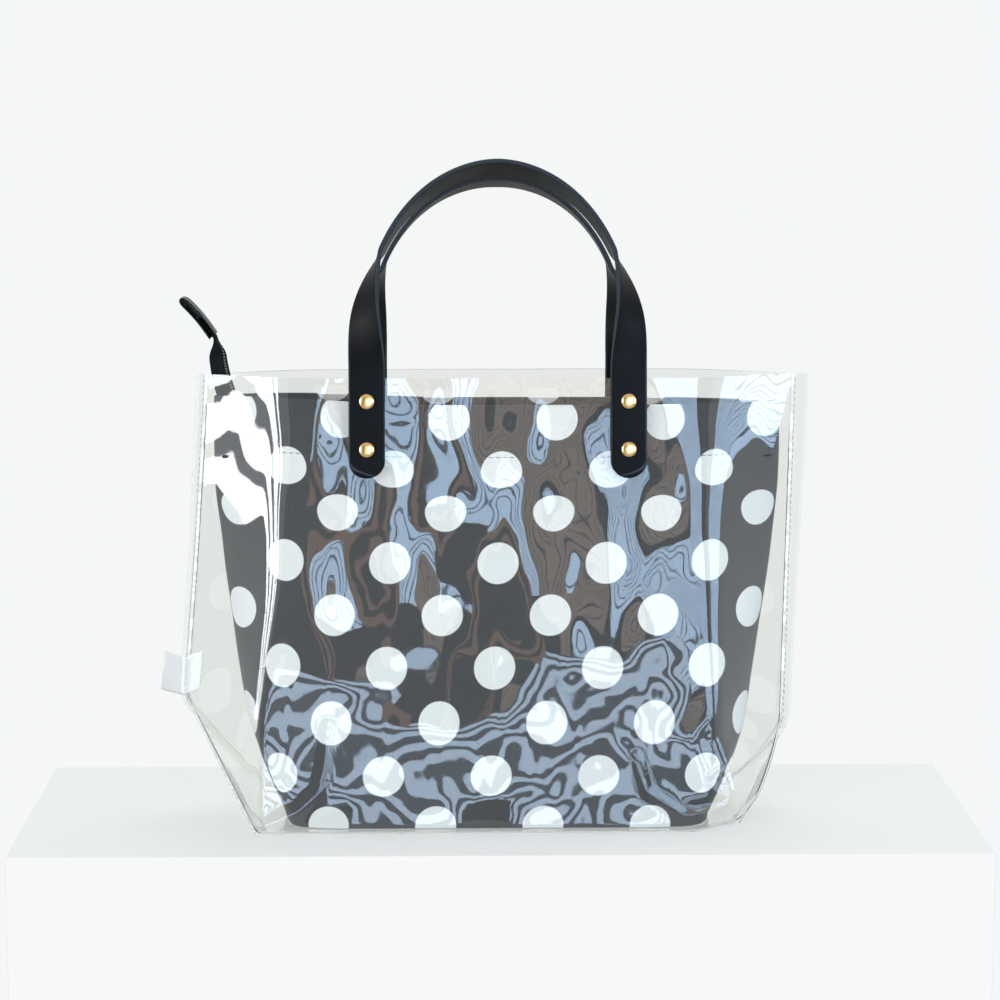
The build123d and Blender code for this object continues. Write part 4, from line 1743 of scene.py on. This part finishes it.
@dataclass
class ZipTail:
    """The zip's free end: its tape folded in half lengthwise, and the tab over its tip."""

    neck: tuple[float, float, float] = (-0.148, 0.0, 0.256)
    width: float = 0.0120
    neck_width: float = 0.0088
    thickness: float = 0.0018
    neck_thickness: float = 0.0017
    layer: float = 0.0006
    twist_start: float = 0.79
    route: tuple[tuple[float, float], ...] = (
        (-0.1235, 0.1985), (-0.1345, 0.2085), (-0.1410, 0.2221), (-0.1455, 0.2370)
    )
    bead_pitch: float = 0.00155
    bead_half: tuple[float, float] = (0.0006, 0.00105)
    bead_wire: float = 0.0003
    bead_inset: float = 0.0014  # from the tape's edge to the middle of the beads
    into_tab: float = 0.0138
    tab_length: float = 0.026
    tab_width: float = 0.014
    tab_thickness: float = 0.0044
    tab_layer: float = 0.0013
    tab_start: float = 0.0017
    lean: float = math.radians(40)
    stations: int = 46

    @property
    def tab_way(self) -> Vector:
        """The direction that the end tab stands in."""
        return Vector((-math.sin(self.lean), 0, math.cos(self.lean)))

    def line(self) -> Callable[[float], tuple[Vector, Vector]]:
        """The middle of the folded tape, from the zip up to the neck."""
        points = [Vector((x, 0, z)) for x, z in self.route] + [Vector(self.neck)]
        return clamped_spline(
            points, Vector((-0.75, 0, 0.66)), Vector((-0.12, 0, 0.99)).normalized()
        )

    def frames(self) -> list[tuple[Vector, Vector, Vector, float, float]]:
        """Place, direction, direction of the coil's edge, width and thickness along the tape."""
        curve = self.line()
        found = []
        for share in np.linspace(0, 1, self.stations):
            place, along = curve(float(share))
            across = Vector((along.z, 0, -along.x))
            turned = float(smooth_step(self.twist_start, 1, share)) * math.pi / 2
            edge = across * math.cos(turned) + Vector((0, 1, 0)) * math.sin(turned)
            width = self.width + (self.neck_width - self.width) * share
            thick = self.thickness + (self.neck_thickness - self.thickness) * share
            found.append((place, along, edge, width, float(thick)))
        bend_from = found[-1][1]
        for step in range(1, 7):
            way = bend_from.lerp(self.tab_way, min(step / 3, 1)).normalized()
            length = 0.0007 if step <= 3 else (self.into_tab - 0.002) / 3
            place = found[-1][0] + way * length
            found.append((place, way, Vector((0, 1, 0)), self.neck_width, self.neck_thickness))
        return found

    def build_tape(self) -> bpy.types.Object:
        """The folded tape, open along the side where the coil is sewn."""
        sleeve = Sleeve()
        for place, way, edge, width, thick in self.frames():
            out = edge.cross(way)
            half, deep = width / 2, thick / 2
            gap = max(deep - self.layer, 0.0001)
            outer = [(half, deep), (0.0, deep * 1.06), (-half + deep, deep)]
            outer += [(-half + deep * 0.3, deep * 0.75), (-half, 0.0)]
            inner = [(half, gap), (0.0, gap), (-half + deep, gap), (-half + deep * 0.6, 0.0)]
            profile = outer + [(x, -y) for x, y in reversed(outer[:-1])]
            profile += [(x, -y) for x, y in inner[:-1]] + [inner[-1]] + list(reversed(inner[:-1]))
            sleeve.add(place, [place + edge * x + out * y for x, y in profile])
        return sleeve.build("tail_tape")

    def build_coil(self) -> bpy.types.Object:
        """The coil that shows as beads along the folded tape's edge."""
        frames = self.frames()[: self.stations - 2]
        last = len(frames) - 1

        def centre(share: float) -> tuple[Vector, Vector, Vector]:
            """The coil's middle and its directions."""
            spot = min(share * last, last - 1e-6)
            low, high, part = frames[int(spot)], frames[int(spot) + 1], spot % 1
            edge = low[2].lerp(high[2], part).normalized()
            way = low[1].lerp(high[1], part).normalized()
            width = low[3] + (high[3] - low[3]) * part
            return low[0].lerp(high[0], part) + edge * (
                width / 2 - self.bead_inset
            ), edge, edge.cross(way)

        turns = int(path_length(frames) / self.bead_pitch)
        return coil_of("tail_coil", centre, turns, self.bead_half, self.bead_wire)

    def build_tab(self) -> bpy.types.Object:
        """The end tab: a strip folded over the tape's tip like a hairpin, with its own UV."""
        long, deep, half = self.tab_length, self.tab_thickness / 2, self.tab_width / 2
        round_by = 0.0004
        nip = deep - self.tab_layer
        outer = [
            (-deep, 0.0), (-deep, 0.45), (-deep * 1.02, 0.75), (-deep * 0.96, 0.88),
            (-deep * 0.62, 0.965),
        ]
        outer += [(0.0, 1.0)] + [(-x, up) for x, up in reversed(outer)]
        inner = [
            (-nip, 0.0), (-nip, 0.43), (-0.0011, 0.50), (-0.0011, 0.8), (-0.0010, 0.90),
            (-0.0007, 0.93),
        ]
        inner += [(-0.0004, 0.90), (-0.0003, 0.8), (-0.0003, 0.50), (nip, 0.43), (nip, 0.0)]
        up_way, down_way = Vector((0, 0, 1)), Vector((0, 0, -1))
        outer_at, inner_at = (
            clamped_spline([Vector((x, 0, up * long)) for x, up in line], up_way, down_way)
            for line in (outer, inner)
        )
        start = Vector(self.neck) + self.tab_way * self.tab_start
        thick_way = Vector((math.cos(self.lean), 0, math.sin(self.lean)))
        side = [(0.0, y) for y in (round_by - half, -half / 2, 0.0, half / 2, half - round_by)]
        side += [(0.2, half), (0.8, half)]
        side += [(1.0, y) for y in (half - round_by, 0.0, round_by - half)]
        side += [(0.8, -half), (0.2, -half)]
        sleeve = Sleeve()
        for share in np.linspace(0, 1, 61):
            out, within = outer_at(float(share))[0], inner_at(float(share))[0]
            ring = []
            for inward, y in side:
                spot = out.lerp(within, inward)
                bow = 0.0009 * math.sin(math.pi * spot.z / long)
                ring.append(
                    start + thick_way * (spot.x + bow) + self.tab_way * spot.z + Vector((0, y, 0))
                )
            sleeve.add(out, ring)
        return sleeve.build("tail_tab_folded")

    def build(self) -> None:
        """Builds the tail with its beads, and the tab on its own body."""
        cloth = WovenCloth(
            "#060708", "#15181a", twill=False, roughness=0.8, sheen=0.0, specular=0.12
        )
        tape = cloth.build("polyester_tape_folded_black")
        # The black coil's beads are drawn grey: a painted highlight standing in for their glints.
        nylon = MouldedNylon("#6f757b", "#b9bec3", 0.3, 1.5).build("nylon_beads_drawn_grey")
        leather = StrapLeather(
            "#040506",
            "#0c0e10",
            grain_depth_mm=0.01,
            roughness=0.34,
            specular=0.12,
            width_mm=400,  # wider than the tab, so that no edge band with its painted reflection shows on it
            turn_mm=900,
        )
        tail = dress(self.build_tape(), tape)
        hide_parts("zip_tail", "zip_tail_tip")
        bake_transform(tail)
        coil = dress(self.build_coil(), nylon)
        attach(coil, "bag")
        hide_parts("zip_tail_coil")
        tab = dress(self.build_tab(), leather.build("pu_leather_glossy_black"))
        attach(tab, "tail_tab")
        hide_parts("tail_end_tab")
        log.info("zip tail with its tab")


# ================================================================== studio


def hide_from(piece: bpy.types.Object, *rays: str) -> None:
    """Keeps an object out of some kinds of ray, such as "camera" or "shadow"."""
    for kind in rays:
        setattr(piece, f"visible_{kind}", False)


def seen_ray(add: Adder) -> bpy.types.NodeSocket:
    """1 for what is seen, straight on, mirrored or through glass, and 0 for light on its way."""
    path = add("LightPath")
    mirrored = add(
        "Math",
        {0: path.outputs["Is Camera Ray"], 1: path.outputs["Is Glossy Ray"]},
        operation="MAXIMUM",
    )
    return add(
        "Math",
        {0: mirrored.outputs[0], 1: path.outputs["Is Transmission Ray"]},
        operation="MAXIMUM",
    ).outputs[0]


class Bars(Enum):
    """Which way a window's glazing bars run."""

    UPRIGHT = 0
    LEVEL = 2


@dataclass(frozen=True)
class Card:
    """A lit window with bars, or a plain dark card, that glossy surfaces mirror."""

    name: str
    place: tuple[float, float, float]
    width: float
    height: float
    colour: str = "#141414"
    strength: float = 0.0
    bars: Bars = Bars.UPRIGHT
    pitch: float = 0.11
    bar: float = 0.30

    def paint(self) -> bpy.types.Material:
        """The card's material: a glow crossed by wavering dark bars, or plain felt."""
        material, add = new_material(f"card_{self.name}")
        if not self.strength:
            felt = add("BsdfPrincipled", {"Base Color": linear(self.colour), "Roughness": 0.9})
            add("OutputMaterial", {"Surface": felt.outputs[0]})
            return material
        place = add("TexCoord")
        stray = add("TexNoise", {"Vector": place.outputs["Object"], "Scale": 2.5, "Detail": 2.0})
        apart = add("SeparateXYZ", {0: place.outputs["Object"]})
        moved = add(
            "Math",
            {0: stray.outputs["Fac"], 1: 0.35, 2: apart.outputs[self.bars.value]},
            operation="MULTIPLY_ADD",
        )
        turned = add("Math", {0: moved.outputs[0], 1: math.tau / self.pitch}, operation="MULTIPLY")
        wave = add("Math", {0: turned.outputs[0]}, operation="SINE")
        edge = -1.2 + 2 * self.bar
        brim = {"Value": wave.outputs[0], 1: edge - 0.1, 2: edge + 0.1, 3: 0.08, 4: 1.0}
        level = add("MapRange", brim, interpolation_type="SMOOTHSTEP")
        power = add("Math", {0: level.outputs[0], 1: self.strength}, operation="MULTIPLY")
        glow = add("Emission", {"Color": linear(self.colour), "Strength": power.outputs[0]})
        add("OutputMaterial", {"Surface": glow.outputs[0]})
        return material


@dataclass
class Studio:
    """Plinth, backdrop, lamps and the camera."""

    pale: str = "#f5f7f7"
    lens: float = 101.05
    reach: float = 1.475  # from the camera to the bag's middle
    aside: float = 0.0016
    eye_height: float = 0.390
    look_down: float = math.radians(8.5)
    turn: float = math.radians(-1.0)
    plinth: tuple[float, ...] = (-0.2515, 0.2535, -0.0885, 0.102, -0.6)

    def paint(self, name: str, glow_share: float) -> bpy.types.Material:
        """Matt white paint, rolled, with a faint texture.

        Args:
            name: The material's name.
            glow_share: How much of what is seen is plain white, and how much is the lit paint.

        Returns:
            The material.
        """
        material, add = new_material(name)
        place = add("TexCoord")
        speck = add("TexNoise", {"Vector": place.outputs["Object"], "Scale": 300.0, "Detail": 2.0})
        bump = add("Bump", {"Height": speck.outputs["Fac"], "Strength": 0.1, "Distance": 0.0002})
        paint = add(
            "BsdfPrincipled",
            {"Base Color": linear("#dfe1e0"), "Roughness": 0.7, "Normal": bump.outputs["Normal"]},
        )
        glow = add("Emission", {"Color": linear("#fbfcfc"), "Strength": 1.0})
        mix = add("MixShader", {0: glow_share, 1: paint.outputs[0], 2: glow.outputs[0]})
        seen = add("MixShader", {0: seen_ray(add), 1: paint.outputs[0], 2: mix.outputs[0]})
        add("OutputMaterial", {"Surface": seen.outputs[0]})
        return material

    def build_plinth(self) -> None:
        """The plain slab that the bag stands on."""
        x0, x1, y0, y1, low = self.plinth
        corners = ((x0, y0), (x1, y0), (x1, y1), (x0, y1))
        points = np.array([(x, y, z) for z in (low, -0.0002) for x, y in corners])
        faces = [(0, 1, 5, 4), (1, 2, 6, 5), (2, 3, 7, 6), (3, 0, 4, 7), (4, 5, 6, 7)]
        slab = add_object("plinth", points, faces)
        slab.data.polygons.foreach_set("use_smooth", [False] * len(slab.data.polygons))
        edges = slab.modifiers.new("edges", "BEVEL")
        edges.width = 0.001
        edges.segments = 2
        slab.data.materials.append(self.paint("emulsion_paint_rolled_white", 0.5))
        # The front face gets a copy of the paint that glows almost white: painted light, lighter
        # than the top.
        slab.data.materials.append(self.paint("emulsion_paint_rolled_lit", 0.93))
        slab.data.polygons[0].material_index = 1

    def build_world(self) -> None:
        """A pale room: seen as the backdrop, and lighting the object a little from all round."""
        world = bpy.data.worlds.new("studio")
        bpy.context.scene.world = world
        world.use_nodes = True
        world.node_tree.nodes.clear()
        add = partial(add_node, world.node_tree)
        room = add("Background", {"Color": linear(self.pale), "Strength": 0.5})
        wall = add("Background", {"Color": linear(self.pale), "Strength": 1.0})
        mix = add("MixShader", {0: seen_ray(add), 1: room.outputs[0], 2: wall.outputs[0]})
        add("OutputWorld", {"Surface": mix.outputs[0]})

    def add_lamp(
        self, name: str, place: tuple[float, float, float], size: tuple[float, float], watts: float,
        aim: Vector,
    ) -> None:
        """A softbox: a rectangular lamp turned towards a point.

        Args:
            name: The lamp's name.
            place: Where it stands.
            size: Its width and height.
            watts: Its power.
            aim: The point that it faces.
        """
        data = bpy.data.lights.new(name, "AREA")
        data.shape = "RECTANGLE"
        data.size, data.size_y = size
        data.energy = watts
        data.color = linear("#fbfdff")[:3]
        lamp = bpy.data.objects.new(name, data)
        lamp.location = place
        lamp.rotation_euler = (Vector(place) - aim).to_track_quat("Z", "Y").to_euler()
        hide_from(lamp, "camera", "transmission", "glossy")
        bpy.context.scene.collection.objects.link(lamp)

    def add_card(self, card: Card) -> None:
        """Puts up a card that is seen only as a reflection.

        Args:
            card: What it is and where it stands.
        """
        x, z = card.width / 2, card.height / 2
        piece = add_object(
            card.name, np.array([(-x, 0, -z), (x, 0, -z), (x, 0, z), (-x, 0, z)]), [(0, 1, 2, 3)]
        )
        piece.location = card.place
        to_middle = Vector((0, 0, card.place[2])) - Vector(card.place)
        piece.rotation_euler = (0, 0, math.atan2(to_middle.y, to_middle.x) - math.pi / 2)
        piece.data.materials.append(card.paint())
        hide_from(piece, "camera", "transmission", "diffuse", "shadow")

    def build_camera(self) -> None:
        """The camera at the viewing angle."""
        data = bpy.data.cameras.new("view")
        data.lens = self.lens
        data.sensor_width = 36.0
        camera = bpy.data.objects.new("view", data)
        camera.location = (
            self.reach * math.sin(self.turn) + self.aside * math.cos(self.turn),
            -self.reach * math.cos(self.turn) + self.aside * math.sin(self.turn),
            self.eye_height,
        )
        camera.rotation_euler = (math.pi / 2 - self.look_down, 0, self.turn)
        bpy.context.scene.collection.objects.link(camera)
        bpy.context.scene.camera = camera

    def build(self) -> None:
        """Builds the whole set."""
        scene = bpy.context.scene
        scene.view_settings.view_transform = "Standard"
        self.build_plinth()
        self.build_world()
        middle = Vector((0, 0, 0.15))
        self.add_lamp("overhead", (0.15, 0.32, 1.6), (0.9, 0.7), 13, middle)
        self.add_lamp("left_soft", (-1.1, -1.7, 0.9), (0.6, 1.0), 8, middle)
        self.add_lamp("right_soft", (1.0, -1.8, 0.8), (0.6, 1.0), 8, middle)
        for card in (
            Card("front_dark", (0.0, -2.6, 0.6), 4.4, 3.6, "#8d9196", 0.30, bar=0.0),
            Card(
                "right_window", (0.80, -2.4, 0.75), 1.10, 1.5, "#b4d0ee", 13.0, pitch=0.034,
                bar=0.20,
            ),
            Card(
                "middle_window", (-0.025, -2.4, 0.90), 0.16, 1.3, "#b4d0ee", 13.0, pitch=0.030,
                bar=0.24,
            ),
            Card("warm_wall", (0.14, -2.4, 0.75), 0.17, 1.5, "#d8c4b6", 3.2, pitch=0.022, bar=0.16),
            Card("warm_left", (-0.16, -2.4, 0.60), 0.11, 1.2, "#d0a88c", 2.6, pitch=0.05, bar=0.5),
            Card(
                "left_small_window", (-0.27, -2.4, 0.70), 0.10, 0.5, "#b4d0ee", 13.0, pitch=0.05,
                bar=0.24,
            ),
            Card(
                "left_window", (-1.92, -0.92, 0.55), 0.95, 1.1, "#f4f8fc", 22.0, pitch=0.30, bar=0.3
            ),
            Card(
                "right_side_window", (1.86, -1.05, 0.60), 0.95, 1.2, "#b4d0ee", 13.0, pitch=0.045,
                bar=0.2,
            ),
            Card(
                "low_window", (0.1, -2.4, -0.20), 1.3, 0.45, "#bcd4ee", 11.0, Bars.LEVEL,
                pitch=0.06, bar=0.52,
            ),
        ):
            self.add_card(card)
        self.build_camera()
        log.info("studio")


# ================================================================== all together


def main() -> None:
    """Builds every piece in order."""
    ClearTote().build()
    SeamTag().build()
    leather = StrapLeather().build("pu_leather_embossed_black")
    gold = PlatedMetal().build("brass_stamped_gold_plated")
    handles = (
        StrapHandle(
            Side.FRONT, leather, arch_top=0.3506, arch_tilt=math.radians(27), twist_share=0.225
        ),
        StrapHandle(
            Side.BACK, leather, arch_tilt=math.radians(-16), hang=0.0075, bulge=0.0025,
            twist_share=0.205,
        ),
    )
    for handle in handles:
        handle.build()
        Rivets(handle, gold).build()
    pouch = Pouch()
    pouch.build()
    PouchZip(pouch).build()
    ZipTail().build()
    Studio().build()


if __name__ == "__main__":
    main()
